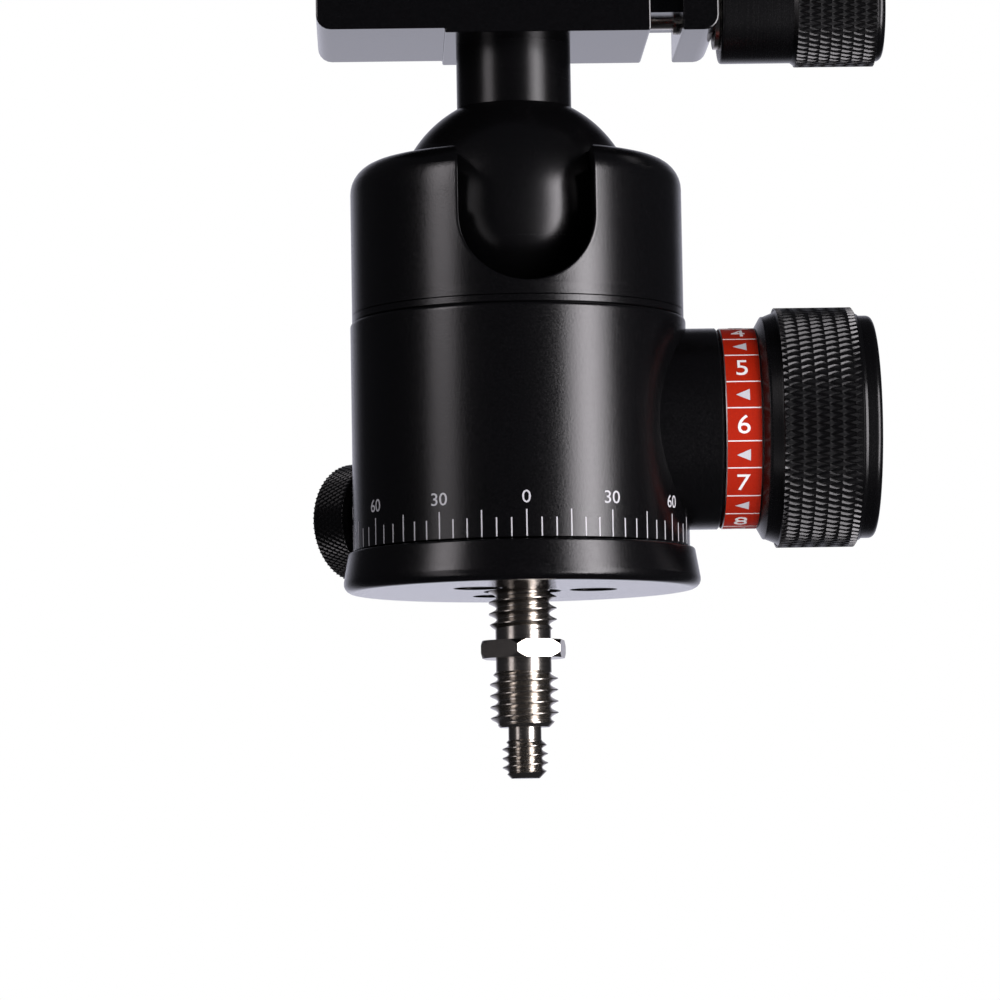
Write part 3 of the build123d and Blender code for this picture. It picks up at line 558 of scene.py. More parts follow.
def thread_tree():
    """A right-hand screw thread on Z, with rounded roots and narrow flat crests.

    The grid's columns go round the screw and its rows follow the helix. Rows past the two ends
    fold onto them, and the first and last rows close the ends.
    """
    tree, calc, (crest, root, pitch, length, crest_at, chamfer, material) = new_tree(
        "screw_thread", "crest root pitch length crest_at chamfer")
    columns, steps = 73, 12
    half_step = 0.5 / steps
    turns = calc("CEIL", calc("DIVIDE", length, pitch))
    rows = calc("MULTIPLY_ADD", calc("ADD", turns, 2.0), float(steps), 3.0)
    grid = result(tree, "GeometryNodeMeshGrid", {"Vertices X": columns, "Vertices Y": rows})
    index, column = index_and_group(tree, rows)
    row_at = calc("SUBTRACT", index, calc("MULTIPLY", column, rows))
    turn = calc("DIVIDE", column, float(columns - 1))
    ridge = calc("ADD", turn, calc("FRACT", calc("DIVIDE", crest_at, pitch)))
    start = calc("SUBTRACT", ridge, 2.0 + half_step)
    helix = calc("ADD", calc("DIVIDE", row_at, float(steps)), start)
    height = calc("MAXIMUM", calc("MULTIPLY", helix, pitch), 0.0)
    height = calc("MINIMUM", height, length)
    is_first = calc("LESS_THAN", row_at, 0.5)
    is_last = calc("GREATER_THAN", row_at, calc("SUBTRACT", rows, 1.5))
    height = calc("MULTIPLY", height, calc("SUBTRACT", 1.0, is_first))
    height = calc("ADD", height, calc("MULTIPLY", is_last, calc("SUBTRACT", length, height)))
    phase = calc("FRACT", calc("SUBTRACT", calc("DIVIDE", height, pitch), ridge))
    valley = calc("SINE", spread(tree, phase, 0.0, pi, half_step, 1.0 - half_step))
    depth = calc("SUBTRACT", crest, root)
    radius = calc("SUBTRACT", crest, calc("MULTIPLY", depth, valley))
    end_radius = calc("SUBTRACT", crest, chamfer)
    for from_end in (height, calc("SUBTRACT", length, height)):
        radius = calc("MINIMUM", radius, calc("ADD", end_radius, from_end))
    within = calc("SUBTRACT", 1.0, calc("MAXIMUM", is_first, is_last))
    radius = calc("MULTIPLY", radius, within)
    spot = on_circle(tree, radius, calc("MULTIPLY", turn, tau), height)
    close_tree(tree, moved(tree, grid, spot), material)
    return tree


def knurl_tree():
    """A diamond knurl on Z: staggered columns of four-sided studs with flat tips."""
    tree, calc, (
        radius, rise, pitch, first, low, high, around, columns, material,
    ) = new_tree("diamond_knurl", "radius rise pitch first low high", "around columns")
    dots = result(tree, "GeometryNodePoints", {"Count": calc("MULTIPLY", around, columns)})
    index, column = index_and_group(tree, around)
    stagger = calc("MULTIPLY", calc("MODULO", column, 2.0), 0.5)
    angle = calc("MULTIPLY", calc("DIVIDE", calc("ADD", index, stagger), around), tau)
    spot = on_circle(tree, radius, angle, calc("MULTIPLY_ADD", column, pitch, first))
    stud = result(tree, "GeometryNodeMeshCone", {
        "Vertices": 4, "Radius Top": 0.5, "Radius Bottom": 1.0, "Depth": rise,
    })
    half_width = calc("DIVIDE", calc("MULTIPLY", radius, pi), around)
    studs = result(tree, "GeometryNodeInstanceOnPoints", {
        "Points": moved(tree, dots, spot), "Instance": stud,
        "Rotation": vector(tree, Y=pi / 2, Z=angle),
        "Scale": vector(tree, X=pitch, Y=half_width, Z=1.0),
    })
    solid = result(tree, "GeometryNodeRealizeInstances", {"Geometry": studs})
    place = result(tree, "GeometryNodeInputPosition")
    split = node(tree, "ShaderNodeSeparateXYZ", {0: place}).outputs
    inside = calc("MINIMUM", calc("MAXIMUM", split["Z"], low), high)
    held = vector(tree, X=split["X"], Y=split["Y"], Z=inside)
    close_tree(tree, moved(tree, solid, held), material)
    return tree


def row_tree():
    """Copies of a piece turned about Z, with up to two stretches left out."""
    tree, calc, (first, step, gap_1, half_1, gap_2, half_2, count, piece, material) = new_tree(
        "turned_row", "first step gap_1 half_1 gap_2 half_2", "count", "piece")
    dots = result(tree, "GeometryNodePoints", {"Count": count})
    angle = calc("MULTIPLY_ADD", result(tree, "GeometryNodeInputIndex"), step, first)
    kept = 1.0
    for middle, half in ((gap_1, half_1), (gap_2, half_2)):
        away = calc("WRAP", calc("SUBTRACT", angle, middle), pi, -pi)
        kept = calc("MULTIPLY", calc("GREATER_THAN", calc("ABSOLUTE", away), half), kept)
    made = node(tree, "GeometryNodeObjectInfo", {"Object": piece}).outputs["Geometry"]
    copies = result(tree, "GeometryNodeInstanceOnPoints", {
        "Points": dots, "Selection": kept, "Instance": made, "Rotation": vector(tree, Z=angle),
    })
    close_tree(tree, copies, material)
    return tree


SCREW_THREAD, DIAMOND_KNURL, TURNED_ROW = thread_tree(), knurl_tree(), row_tree()


def thread(name, crest, root, pitch, start, end, crest_at, chamfer, material, place=UPRIGHT):
    """A thread between two heights, with a crest on +X at the height crest_at."""
    return grow(
        name, SCREW_THREAD, place, start, WELD, 40, crest=crest * MM, root=root * MM,
        pitch=pitch * MM, length=(end - start) * MM, crest_at=(crest_at - start) * MM,
        chamfer=chamfer * MM, material=material)


def knurl(name, radius, core, around, columns, pitch, first, start, end, place, material):
    """A knurled band between two heights, rising from a core to a radius.

    first is the height of the first column's tips. The studs' feet are sunk in the core.
    """
    sunk = 0.02
    return grow(
        name, DIAMOND_KNURL, place, sharp=20, radius=(core - sunk) * MM,
        rise=(radius - core + sunk) * MM, around=around, columns=columns, pitch=pitch * MM,
        first=first * MM, low=start * MM, high=end * MM, material=material)


def row(name, piece, count, first, step, material, place=UPRIGHT, gaps=()):
    """Copies of a piece turned about the axis it was made on; angles in degrees.

    gaps are up to two (middle, half width) stretches without copies.
    """
    gaps = [tuple(map(radians, gap)) for gap in gaps] + [(0.0, -1.0)] * (2 - len(gaps))
    (gap_1, half_1), (gap_2, half_2) = gaps
    made = grow(
        name, TURNED_ROW, place, piece=piece, count=count, first=radians(first),
        step=radians(step), gap_1=gap_1, half_1=half_1, gap_2=gap_2, half_2=half_2,
        material=material)
    drop(piece)
    return made


# Marks: numbers, lines and arrows that follow a drum

def round_drum(mesh, radius):
    """Bends a flat mark round the front of a drum that stands on Z."""
    for vertex in mesh.vertices:
        across, up, out = vertex.co
        angle = across / radius - pi / 2
        reach = radius + out
        vertex.co = (reach * cos(angle), reach * sin(angle), up)


def plate(name, outline, radius):
    """A thin plate of (across, up) points on the front of a drum, a little proud of it."""
    made = prism(name, outline, -MARK_SUNK, MARK_THICK - MARK_SUNK, Matrix.Identity(4))
    round_drum(made.data, radius)
    made.data.transform(UPRIGHT)
    return made


def line(width, low, high, radius):
    """A line along the axis, on the front of a drum."""
    half = width / 2
    return plate("line", [(-half, low), (half, low), (half, high), (-half, high)], radius)


def number(value, height, wide, radius, angle, lift, place, sideways=False):
    """A number bent round a drum, at this angle from the front and this height along its axis.

    wide stretches its digits. sideways turns it to stand along the axis.
    """
    curve = bpy.data.curves.new("figure", "FONT")
    curve.body, curve.size = str(value), height / DIGIT_SHARE
    curve.align_x, curve.align_y = "CENTER", "CENTER"
    curve.extrude, curve.resolution_u = MARK_THICK / 2, 4
    item = new_object("figure", curve)
    view = bpy.context.evaluated_depsgraph_get()
    mesh = bpy.data.meshes.new_from_object(item.evaluated_get(view))
    bpy.data.objects.remove(item)
    bpy.data.curves.remove(curve)
    across = [v.co.x for v in mesh.vertices]
    up = [v.co.y for v in mesh.vertices]
    middle = Vector(((min(across) + max(across)) / 2, (min(up) + max(up)) / 2, -FIGURE_LIFT))
    mesh.transform(Matrix.Translation(-middle))
    mesh.transform(Matrix.Diagonal((wide, 1, 1, 1)))
    if sideways:
        mesh.transform(about_z(90))
    mesh.transform(Matrix.Translation((0, lift, 0)))
    round_drum(mesh, radius)
    mesh.transform(about_z(angle))
    mesh.transform(place)
    return new_object("number", mesh)


def numbers(name, *pieces):
    return joined(name, *pieces, sharp=30, merge=1e-7)


# Base disc, its screws and the tripod stud

def drill(radius, start, end, edge, place, around=64):
    """A cutter for a round hole whose mouth, at the start, has a small break."""
    outline = [(0, start - 1), (radius + edge + 1, start - 1), (radius, start + edge)]
    return turned("drill", outline + [(radius, end), (0, end)], place, around)


def at(x, y=0.0, turn=0.0):
    """The place of a piece on Z moved out to (x, y), then turned about the head's axis."""
    return UPRIGHT @ about_z(turn) @ Matrix.Translation((x, y, 0))


def hexagon(across_flats, turn=0.0):
    reach = across_flats / sqrt(3)
    angles = [radians(turn + 60 * step) for step in range(6)]
    return [(reach * cos(angle), reach * sin(angle)) for angle in angles]


base_disc = turned("base_disc", rounded([
    (5.5, 0.0), (BASE_R + 0.17, 0.0, 1.3), (BASE_TOP_R, BASE_H, 0.35), (4.79, BASE_H),
    (4.79, 0.72),
]), around=192)
carve(base_disc, *(
    drill(COUNTERBORE_R, 0, COUNTERBORE_DEEP, 0.2, at(BASE_SCREW_OUT, turn=BASE_SCREW_TURN + turn))
    for turn in (0, 120, 240)
))
mount(base_disc, "base", "black_anodised", base_black, "base_plate")

base_head = turned("base_screw_head", rounded([
    (0, 0.3), (2.75, 0.3, 0.3), (2.75, COUNTERBORE_DEEP, 0.15), (0, COUNTERBORE_DEEP),
]), around=48)
carve(base_head, prism("socket", hexagon(2.5), -0.7, 1.9))
base_head.data.transform(Matrix.Translation((BASE_SCREW_OUT * MM, 0, 0)))
base_heads = row("base_screw_heads", base_head, 3, BASE_SCREW_TURN, 120, screw_black)
mount(base_heads, "base", "black_screw", screw_black, "base_screws")

nut = prism("nut", hexagon(NUT_ACROSS, NUT_TURN), NUT_LOW, NUT_TOP)
corner = NUT_ACROSS / sqrt(3)
dome = turned("dome", [
    (0, NUT_LOW), (corner - 0.57, NUT_LOW), (corner + 0.2, NUT_LOW + 1.0),
    (corner + 0.2, NUT_TOP - 1.0), (corner - 0.57, NUT_TOP), (0, NUT_TOP),
], around=96)
carve(nut, dome, operation="INTERSECT", sharp=20)
necks = [
    cylinder("neck", radius, start, end, around=72)
    for radius, start, end in (
        (STUD_NECK, -7.5, -4.9), (STUD_NECK, -11.4, -8.9), (TIP_NECK, -20.9, -18.5))
]
main_thread = (STUD_R, STUD_ROOT, STUD_PITCH)
threads = [
    thread("upper_thread", *main_thread, -5.5, 12.0, -0.8, 0.9, stud_steel),
    thread("lower_thread", *main_thread, LOW_END, -10.8, -12.2, 1.3, stud_steel),
    thread(
        "tip_thread", TIP_R, TIP_ROOT, TIP_PITCH, STUD_END, TIP_START, -21.4, 1.2, stud_steel),
]
stud = joined("stud", nut, *necks, *threads, sharp=24)
mount(stud, "base", "nickel_steel", stud_steel, "tripod_stud")


# Housing: drum and boss, bored out for the bearing, the cup and the lock

housing = turned("housing_drum", rounded([
    (0, HOUSING_Z), (HOUSING_R, HOUSING_Z, 0.15), (HOUSING_R, SEAM_Z, 0.6), (0, SEAM_Z),
]), around=192)
boss = turned("boss", rounded([
    (0, 0), (BOSS_R, 0), (BOSS_R, BOSS_END - 0.35), (BOSS_R - 0.35, BOSS_END), (0, BOSS_END),
]), LOCK_AXIS, around=144)
carve(housing, boss, operation="UNION")
chamber = turned("chamber", [
    (0, 5), (HUB_BORE_R, 5), (HUB_BORE_R, WEB_LOW), (WEB_BORE_R, WEB_LOW), (WEB_BORE_R, WEB_HIGH),
    (RETAINER_BORE_R, WEB_HIGH), (RETAINER_BORE_R, RETAINER_TOP), (WEDGE_ROOM_R, RETAINER_TOP),
    (WEDGE_ROOM_R, CUP_FLOOR), (CUP_BORE_R, CUP_FLOOR), (CUP_BORE_R, SKIRT_Z),
    (THREAD_BORE_R, SKIRT_Z), (THREAD_BORE_R, 40), (0, 40),
], around=96)
carve(
    housing, chamber, cylinder("wedge_bore", 5.55, 0, 28.5, LOCK_AXIS),
    cylinder("bush_bore", 7.52, 23, 28.5, LOCK_AXIS, 64),
    cylinder("pad_bore", 2.95, 5, 20.4, PAN_LOCK_AXIS),
    cylinder("screw_bore", 2.55, 5, 30, PAN_LOCK_AXIS))
carve(housing, drill(GRUB_R, -HOUSING_R, -12, 0.25, lying(GRUB_Z, -90), 32))
mount(housing, "pan_housing", "black_anodised", anodised, "housing")


# Collar and seat ring, cut by the drop notch

def rim_gaps(edge):
    """Distances from the notch's outline that cover its rounded rim and a little more."""
    return [edge * (1 - cos(radians(22.5 * step))) for step in range(5)] + [edge + 0.2]


def beside_notch(height, radius, away, half, edge, outward):
    """A point this far outside the notch's outline: (angle from the front, radius, height).

    outward is the direction (out, up) that the wall faces, where the notch's rim is rounded.
    """
    below = max(0.0, NOTCH_MIDDLE - height)
    across = sqrt(max(0.0, (half + away) ** 2 - below ** 2))
    if outward:
        gap = min(edge, max(away, below - half))
        sunk = edge - sqrt(edge ** 2 - (edge - gap) ** 2)
        radius -= sunk * outward[0]
        height -= sunk * outward[1]
    return asin(min(1.0, across / radius)), radius, height


def notched(name, rows, half, edge):
    """A ring on Z cut by the drop notch, open to -Y.

    rows run from the bottom up: (height, outer radius, inner radius, outward direction of the
    outer wall, the same of the inner wall). The first columns follow the notch's outline.
    """
    away, steps = rim_gaps(edge), 72
    points, loops = [], []
    for height, outer, inner, outer_way, inner_way in rows:
        for radius, outward in ((outer, outer_way), (inner, inner_way)):
            spots = [beside_notch(height, radius, gap, half, edge, outward) for gap in away]
            begin, reach, rise = spots[-1]
            rest = [begin + (pi - begin) * step / steps for step in range(1, steps + 1)]
            spots += [(angle, reach, rise) for angle in rest]
            for side in (1, -1):
                loops.append(range(len(points), len(points) + len(spots)))
                points += [(side * r * sin(a), -r * cos(a), z) for a, r, z in spots]
    strips = [(loops[k], loops[k + 4]) for k in range(len(loops) - 4)]
    strips += [(loops[k], loops[k + 2]) for k in (0, 1, len(loops) - 4, len(loops) - 3)]
    faces = [
        [one[j], one[j + 1], other[j + 1], other[j]]
        for one, other in strips for j in range(len(one) - 1)
    ]
    for k in range(len(rows) - 1):
        if rows[k + 1][0] > NOTCH_MIDDLE - half + 1e-6:
            for side in (0, 1):
                corners = [4 * k + side, 4 * k + side + 4, 4 * k + side + 6, 4 * k + side + 2]
                faces.append([loops[corner][0] for corner in corners])
    return build(name, points, faces, UPRIGHT, WELD)


def collar_outer(height):
    """The collar's outer radius and the way its wall faces, over its rounded upper edge."""
    rise = min(1.0, max(0.0, (height - COLLAR_EDGE_LOW) / COLLAR_EDGE))
    level = sqrt(1 - rise ** 2)
    return COLLAR_R - COLLAR_EDGE + COLLAR_EDGE * level, (level, rise)


def collar_inner(height):
    """The cup's bore, then the seat's pocket, then the lip that follows the ball."""
    if height <= SEAT_LOW - 1:
        return CUP_BORE_R
    if height <= SEAT_HIGH:
        return min(CUP_BORE_R, max(SEAT_R, CUP_BORE_R - (height - SEAT_LOW + 1) * 1.4))
    return sqrt((BALL_R + 0.2) ** 2 - (height - BALL_Z) ** 2)


# The skirt, the chamfer at the seam and the fine groove above it
collar_rows = [(SKIRT_Z, SKIRT_R, CUP_BORE_R, None, None)] + [
    (SEAM_Z + up, outer, CUP_BORE_R, None, None) for up, outer in (
        (0.02, SKIRT_R), (0.02, COLLAR_R - 0.12), (0.14, COLLAR_R), (0.95, COLLAR_R),
        (1.03, COLLAR_R - 0.15), (1.11, COLLAR_R))
]
heights = [NOTCH_LOW - gap for gap in rim_gaps(NOTCH_BREAK)]
heights += [NOTCH_MIDDLE - NOTCH_HALF * cos(radians(angle)) for angle in range(5, 91, 5)]
heights += [SEAT_LOW - 1, SEAT_LOW, SEAT_MIDDLE, SEAT_HIGH]
heights += [COLLAR_EDGE_LOW + COLLAR_EDGE * sin(radians(angle)) for angle in range(0, 91, 10)]
for height in sorted(heights):
    outer, way = collar_outer(height)
    top = (0.0, 1.0) if height == max(heights) else None
    collar_rows.append((height, outer, collar_inner(height), way, top))
    if height == SEAT_HIGH:
        collar_rows.append((height, outer, collar_inner(height + 1e-6), way, None))
collar = notched("collar_ring", collar_rows, NOTCH_HALF, NOTCH_BREAK)
carve(collar, drill(GRUB_R, -22.9, -20, 0.0, lying(GRUB_Z, -90), 32))
past_square = about_z(2.1)
collar.data.transform(past_square)
mount(collar, "pan_housing", "black_anodised", anodised, "collar")

levels = [SEAT_LOW + (SEAT_HIGH - 0.02 - SEAT_LOW) * step / 12 for step in range(13)]
seat = notched("seat_liner", [
    (up, SEAT_R - 0.02, sqrt((BALL_R + 0.05) ** 2 - (up - BALL_Z) ** 2), None, None)
    for up in levels
], NOTCH_HALF + 4.0, 0.1)
seat.data.transform(past_square)
mount(seat, "pan_housing", "white_acetal", white_acetal, "seat_ring")


# Ball and stem

def ball_arc(radius, start, end, steps):
    """Points down a sphere about the ball's centre; angles in degrees from its top."""
    angles = [radians(start + (end - start) * step / steps) for step in range(steps + 1)]
    return [(radius * sin(angle), BALL_Z + radius * cos(angle)) for angle in angles]


ball = turned(
    "ball_sphere", [(0, 55.22), (5.05, 55.22)] + ball_arc(BALL_R, 17.3, 180, 84), around=144)
mount(ball, "ball", "ball_black", ball_black, "ball")

foot = BALL_R + 0.025
stem = turned("stem", [(0, STEM_FOOT), (SPIGOT_R, STEM_FOOT)] + ball_arc(foot, 17.08, 28.22, 4) + [
    (STEM_R, CLAMP_Z), (7.2, CLAMP_Z), (7.2, CLAMP_Z + 1.6), (0, CLAMP_Z + 1.6),
], around=120)
mount(stem, "camera_clamp", "black_anodised", stem_black, "ball_stem")


# Plate clamp and its jaw

clamp = prism("clamp_block", rounded([
    (CLAMP_LEFT, THIN_Z, 2.0), (THIN_END, THIN_Z, 0.2), (THIN_END, CLAMP_Z, 0.25),
    (CLAMP_RIGHT, CLAMP_Z, 0.4), (CLAMP_RIGHT, FLOOR_Z, 0.5), (CHANNEL_LEFT, FLOOR_Z, 0.3),
    (CHANNEL_LEFT, FLOOR_Z + DOVETAIL_WALL, 0.2), (CHANNEL_LEFT + DOVETAIL_RUN, DOVETAIL_TOP, 0.2),
    (CHANNEL_LEFT + DOVETAIL_RUN, CLAMP_TOP, 0.4), (CLAMP_LEFT, CLAMP_TOP, 1.0),
]), -CLAMP_HALF_Y, CLAMP_HALF_Y, ALONG_Y)
bevel(clamp, CLAMP_EDGE, 60, 20)
slot = box_piece("slot", (9.4, 20), (-8.05, 8.05), (TONGUE_LOW - 0.05, TONGUE_HIGH + 0.05))
screw_seats = [
    turned("screw_seat", [
        (0, 76), (1.52, 76), (1.52, 86.28), (2.79, 87.55), (2.79, 87.6), (3.8, 88.6), (0, 88.6),
    ], at(0, y), 64) for y in (-CLAMP_SCREW_Y, CLAMP_SCREW_Y)
]
carve(
    clamp, slot, cylinder("bolt_bore", 3.05, -7, 20, BOLT_AXIS),
    cylinder("clip_bore", 3.9, 16.5, 20, BOLT_AXIS), cylinder("tenon", 7.22, 76, 78.37, around=72),
    *screw_seats, sharp=20)
mount(clamp, "camera_clamp", "black_anodised", clamp_black, "clamp_body")

screw_head = turned("clamp_screw_head", [
    (0, 80), (1.5, 80), (1.5, 86.30), (2.68, 87.48), (2.75, 87.55), (0, 87.55),
], around=48)
carve(screw_head, prism("socket", hexagon(2.0), 86.35, 88.5))
screw_head.data.transform(Matrix.Translation((0, CLAMP_SCREW_Y * MM, 0)))
clamp_heads = row("clamp_screw_heads", screw_head, 2, 0, 180, screw_black)
mount(clamp_heads, "camera_clamp", "black_screw", screw_black, "clamp_screws")

jaw = prism("jaw_block", rounded([
    (JAW_X, CLAMP_Z, 0.3), (JAW_END, CLAMP_Z, 2.0), (JAW_END, CLAMP_TOP, 1.0),
    (JAW_X - DOVETAIL_RUN, CLAMP_TOP, 0.4), (JAW_X - DOVETAIL_RUN, DOVETAIL_TOP, 0.2),
    (JAW_X, FLOOR_Z + DOVETAIL_WALL, 0.2),
]), -CLAMP_HALF_Y, CLAMP_HALF_Y, ALONG_Y)
bevel(jaw, JAW_EDGE, 60, 20)
tongue = box_piece(
    "tongue", (14.0, 24.0), (-TONGUE_HALF_Y, TONGUE_HALF_Y), (TONGUE_LOW, TONGUE_HIGH))
bevel(tongue, TONGUE_EDGE)
carve(jaw, tongue, operation="UNION", sharp=20)
carve(
    jaw, cylinder("jaw_bore", 3.2, 10, 30, BOLT_AXIS),
    cylinder("clip_room", 3.8, 22.2, 23.2, BOLT_AXIS), sharp=20)
mount(jaw, "jaw", "black_anodised", clamp_black, "clamp_jaw")


# Knobs

def mount_knob(name, outline, band, disc, axis, body, blacks, nodes):
    """A knob's turned core, its knurled band with a black of its own, and its end disc.

    band is the knurl's radius, core, studs around, columns, pitch, first column, start and end.
    disc is the end disc's name, radius, start, end and edge.
    """
    core_black, knurl_black = blacks
    mount(turned(name, rounded(outline), axis), body, "knob_black", core_black, nodes[0])
    mount(knurl(name + "_knurl", *band, axis, knurl_black), body, "knob_black", knurl_black)
    disc_name, radius, start, end, edge = disc
    end_disc = turned(disc_name, rounded([
        (0, start), (radius - 0.1, start), (radius, start + 0.1), (radius, end, edge), (0, end),
    ], steps=8), axis)
    mount(end_disc, body, "knob_black", core_black, nodes[1])


mount_knob("lock_knob", [
    (3.02, RING_START), (RING_IN_R, RING_START), (RING_IN_R, 33.02), (RING_R, 33.02, 0.08),
    (15.6, 33.9, 0.15), (15.6, 34.2, 0.3), (16.2, 35.7, 0.1),
    (KNOB_CORE_R, KNOB_GRIP_START + 0.25), (KNOB_CORE_R, KNOB_GRIP_END + 0.05),
    (15.95, 46.95, 0.1), (15.82, 47.3), (15.7, 47.3), (15.7, KNOB_END), (9.02, KNOB_END),
    (9.02, 44.1), (6.0, 44.1), (6.0, 40.5), (3.02, 40.5),
], (KNOB_R, KNOB_CORE_R, 100, 7, 1.81, 34.72, 35.8, KNOB_GRIP_END),
    ("lock_knob_disc", 15.6, KNOB_END, 49.4, 0.8), LOCK_AXIS, "main_lock_knob", lock_blacks,
    ("main_knob", "main_knob_cap"))

mount_knob("pan_lock_grip", [
    (2.52, 24.3), (5.5, 24.3, 0.3), (5.5, 26.4), (7.6, 26.8, 0.3), (8.36, 27.2, 0.1),
    (8.36, 33.0, 0.1), (7.32, 33.1), (7.32, 32.0), (4.02, 32.0), (4.02, 31.0), (2.52, 31.0),
], (8.5, 8.36, 72, 8, 0.75, 27.4, 27.1, 33.0),
    ("pan_lock_disc", 7.3, 32.0, 35.0, 1.6), PAN_LOCK_AXIS, "pan_lock_knob", pan_blacks,
    ("pan_knob", "pan_knob_cap"))

mount_knob("clamp_grip", [
    (3.02, 29.05), (7.9, 29.05, 0.4), (7.9, GRIP_START), (8.3, 39.7, 0.1), (8.3, 50.9, 0.1),
    (7.82, 51.05), (7.82, GRIP_END), (4.02, GRIP_END), (4.02, 48.65), (3.02, 48.65),
], (8.5, 8.3, 60, 8, 1.56, 39.75, 39.75, 50.9),
    ("clamp_knob_disc", 7.8, GRIP_END, 52.05, 0.9), BOLT_AXIS, "clamp_lock_knob", clamp_blacks,
    ("clamp_knob", "clamp_knob_cap"))

thrust = turned("thrust_ring", rounded([
    (3.02, 28.25), (5.9, 28.25, 0.1), (5.9, 29.05, 0.1), (3.02, 29.05),
]), BOLT_AXIS, 96)
mount(thrust, "clamp_lock_knob", "nickel_steel", bolt_steel, "clamp_thrust_washer")

bolt_thread = thread(
    "bolt_thread", BOLT_R, 2.45, 1.0, -2.0, 16.0, 0.0, 0.5, bolt_steel, BOLT_AXIS)
bolt_collar = turned("bolt_collar", [
    (0, 15.5), (BOLT_R, 16.0), (BOLT_R, 22.54), (2.7, 22.54), (2.7, 23.16), (BOLT_R, 23.16),
    (BOLT_R, 48.15), (0, 48.15),
], BOLT_AXIS, 64)
mount(joined("bolt", bolt_thread, bolt_collar), "clamp_lock_knob", "nickel_steel", bolt_steel,
      "clamp_bolt")


# Red ring with its numbers, arrows and lines

ring = turned("scale_drum", [
    (RING_IN_R + 0.02, RING_START), (RING_R - 0.12, RING_START),
    (RING_R - 0.02, RING_START + 0.12), (RING_R - 0.02, RING_END - 0.12),
    (RING_R - 0.12, RING_END), (RING_IN_R + 0.02, RING_END),
], LOCK_AXIS, 180)
mount(ring, "main_lock_knob", "scale_red", red_enamel, "main_scale_ring")
bare_edges = [
    turned("edge", [
        (RING_R - 0.3, inner), (RING_R - 0.3, outer), (RING_R - 0.11, outer), (RING_R, inner),
    ], LOCK_AXIS, 180)
    for inner, outer in ((RING_START + 0.14, RING_START), (RING_END - 0.14, RING_END))
]
mount(joined("ring_edges", *bare_edges), "main_lock_knob", "scale_red", bare_edge)

ring_middle = (RING_START + RING_END) / 2
nought_at = SIX_AT - 6 * DIGIT_PITCH
ring_numbers = numbers("ring_numbers", *(
    number(
        value, 2.7, 1.12, RING_R, nought_at + DIGIT_PITCH * value, ring_middle - 0.1, LOCK_AXIS,
        sideways=True)
    for value in range(10)
))
arrow = plate("arrow", [
    (0.82, ring_middle + 0.8), (-0.82, ring_middle + 0.8), (0.0, ring_middle - 1.1),
], RING_R)
arrows = row("ring_arrows", arrow, 10, nought_at + 17.4, DIGIT_PITCH, silver_paint, LOCK_AXIS)
for marks, paint in ((ring_numbers, white_paint), (arrows, silver_paint)):
    mount(marks, "main_lock_knob", "scale_red", paint)
for name, count, away in (("number_lines", 11, -9.35), ("arrow_lines", 10, 9.35)):
    lines = row(
        "ring_" + name, line(0.15, RING_START + 0.16, RING_END - 0.16, RING_R), count,
        nought_at + away, DIGIT_PITCH, white_paint, LOCK_AXIS)
    mount(lines, "main_lock_knob", "scale_red", white_paint)


# Pan scale on the housing: a line each 5 degrees, long each 15, none under the boss and the knob

BOSS_GAP, KNOB_GAP = (90.0, 13.5), (-135.0, 15.0)
for name, top, begin in (("long", 9.57, -180), ("short", 8.5, -175), ("other", 8.5, -170)):
    ticks = row(
        "pan_ticks_" + name, line(0.18, HOUSING_Z + 0.12, top, HOUSING_R), 24, begin, 15,
        silver_paint, gaps=(BOSS_GAP, KNOB_GAP))
    mount(ticks, "pan_housing", None, silver_paint)
pan_numbers = numbers("pan_numbers", *(
    number(abs(angle), 1.8, 1.08, HOUSING_R, angle, 11.3, UPRIGHT)
    for angle in (-90, -60, -30, 0, 30, 60, 120, 150, 180)
))
mount(pan_numbers, "pan_housing", None, silver_paint)


# Camera, lights, backdrop and floor

CAMERA_AWAY, CAMERA_Z, CAMERA_AZIMUTH, CAMERA_ROLL = 650, -43.1, 1.87, -0.97
AIM_Z, AIM_LEFT, LENS, SENSOR = 12.85, 2.92, 167.95, 36.0

camera_data = bpy.data.cameras.new("camera")
camera_data.sensor_width, camera_data.lens = SENSOR, LENS
camera_data.clip_start, camera_data.clip_end = 0.01, 50.0
camera = new_object("camera", camera_data)
bpy.context.scene.camera = camera
aside, ahead = sin(radians(CAMERA_AZIMUTH)), cos(radians(CAMERA_AZIMUTH))
camera.location = Vector((-CAMERA_AWAY * aside, -CAMERA_AWAY * ahead, CAMERA_Z)) * MM
target = (Vector((0, 0, AIM_Z)) - Vector((ahead, -aside, 0)) * AIM_LEFT) * MM
facing = (target - camera.location).to_track_quat("-Z", "Y")
camera.rotation_mode = "QUATERNION"
camera.rotation_quaternion = facing @ Quaternion((0, 0, 1), radians(CAMERA_ROLL))


def area_light(name, azimuth, distance, level, width, height, radiance, colour):
    """A tall soft light at an azimuth from the front and a level above the base. In metres."""
    data = bpy.data.lights.new(name, "AREA")
    data.shape, data.size, data.size_y = "RECTANGLE", width, height
    data.energy, data.color = radiance * pi * width * height, colour
    light = new_object(name, data)
    turn = radians(azimuth)
    way = Vector((sin(turn), -cos(turn), 0))
    light.location = Vector((0, 0, level)) + way * distance
    light.rotation_euler = (-way).to_track_quat("-Z", "Y").to_euler()
    light.visible_camera = False


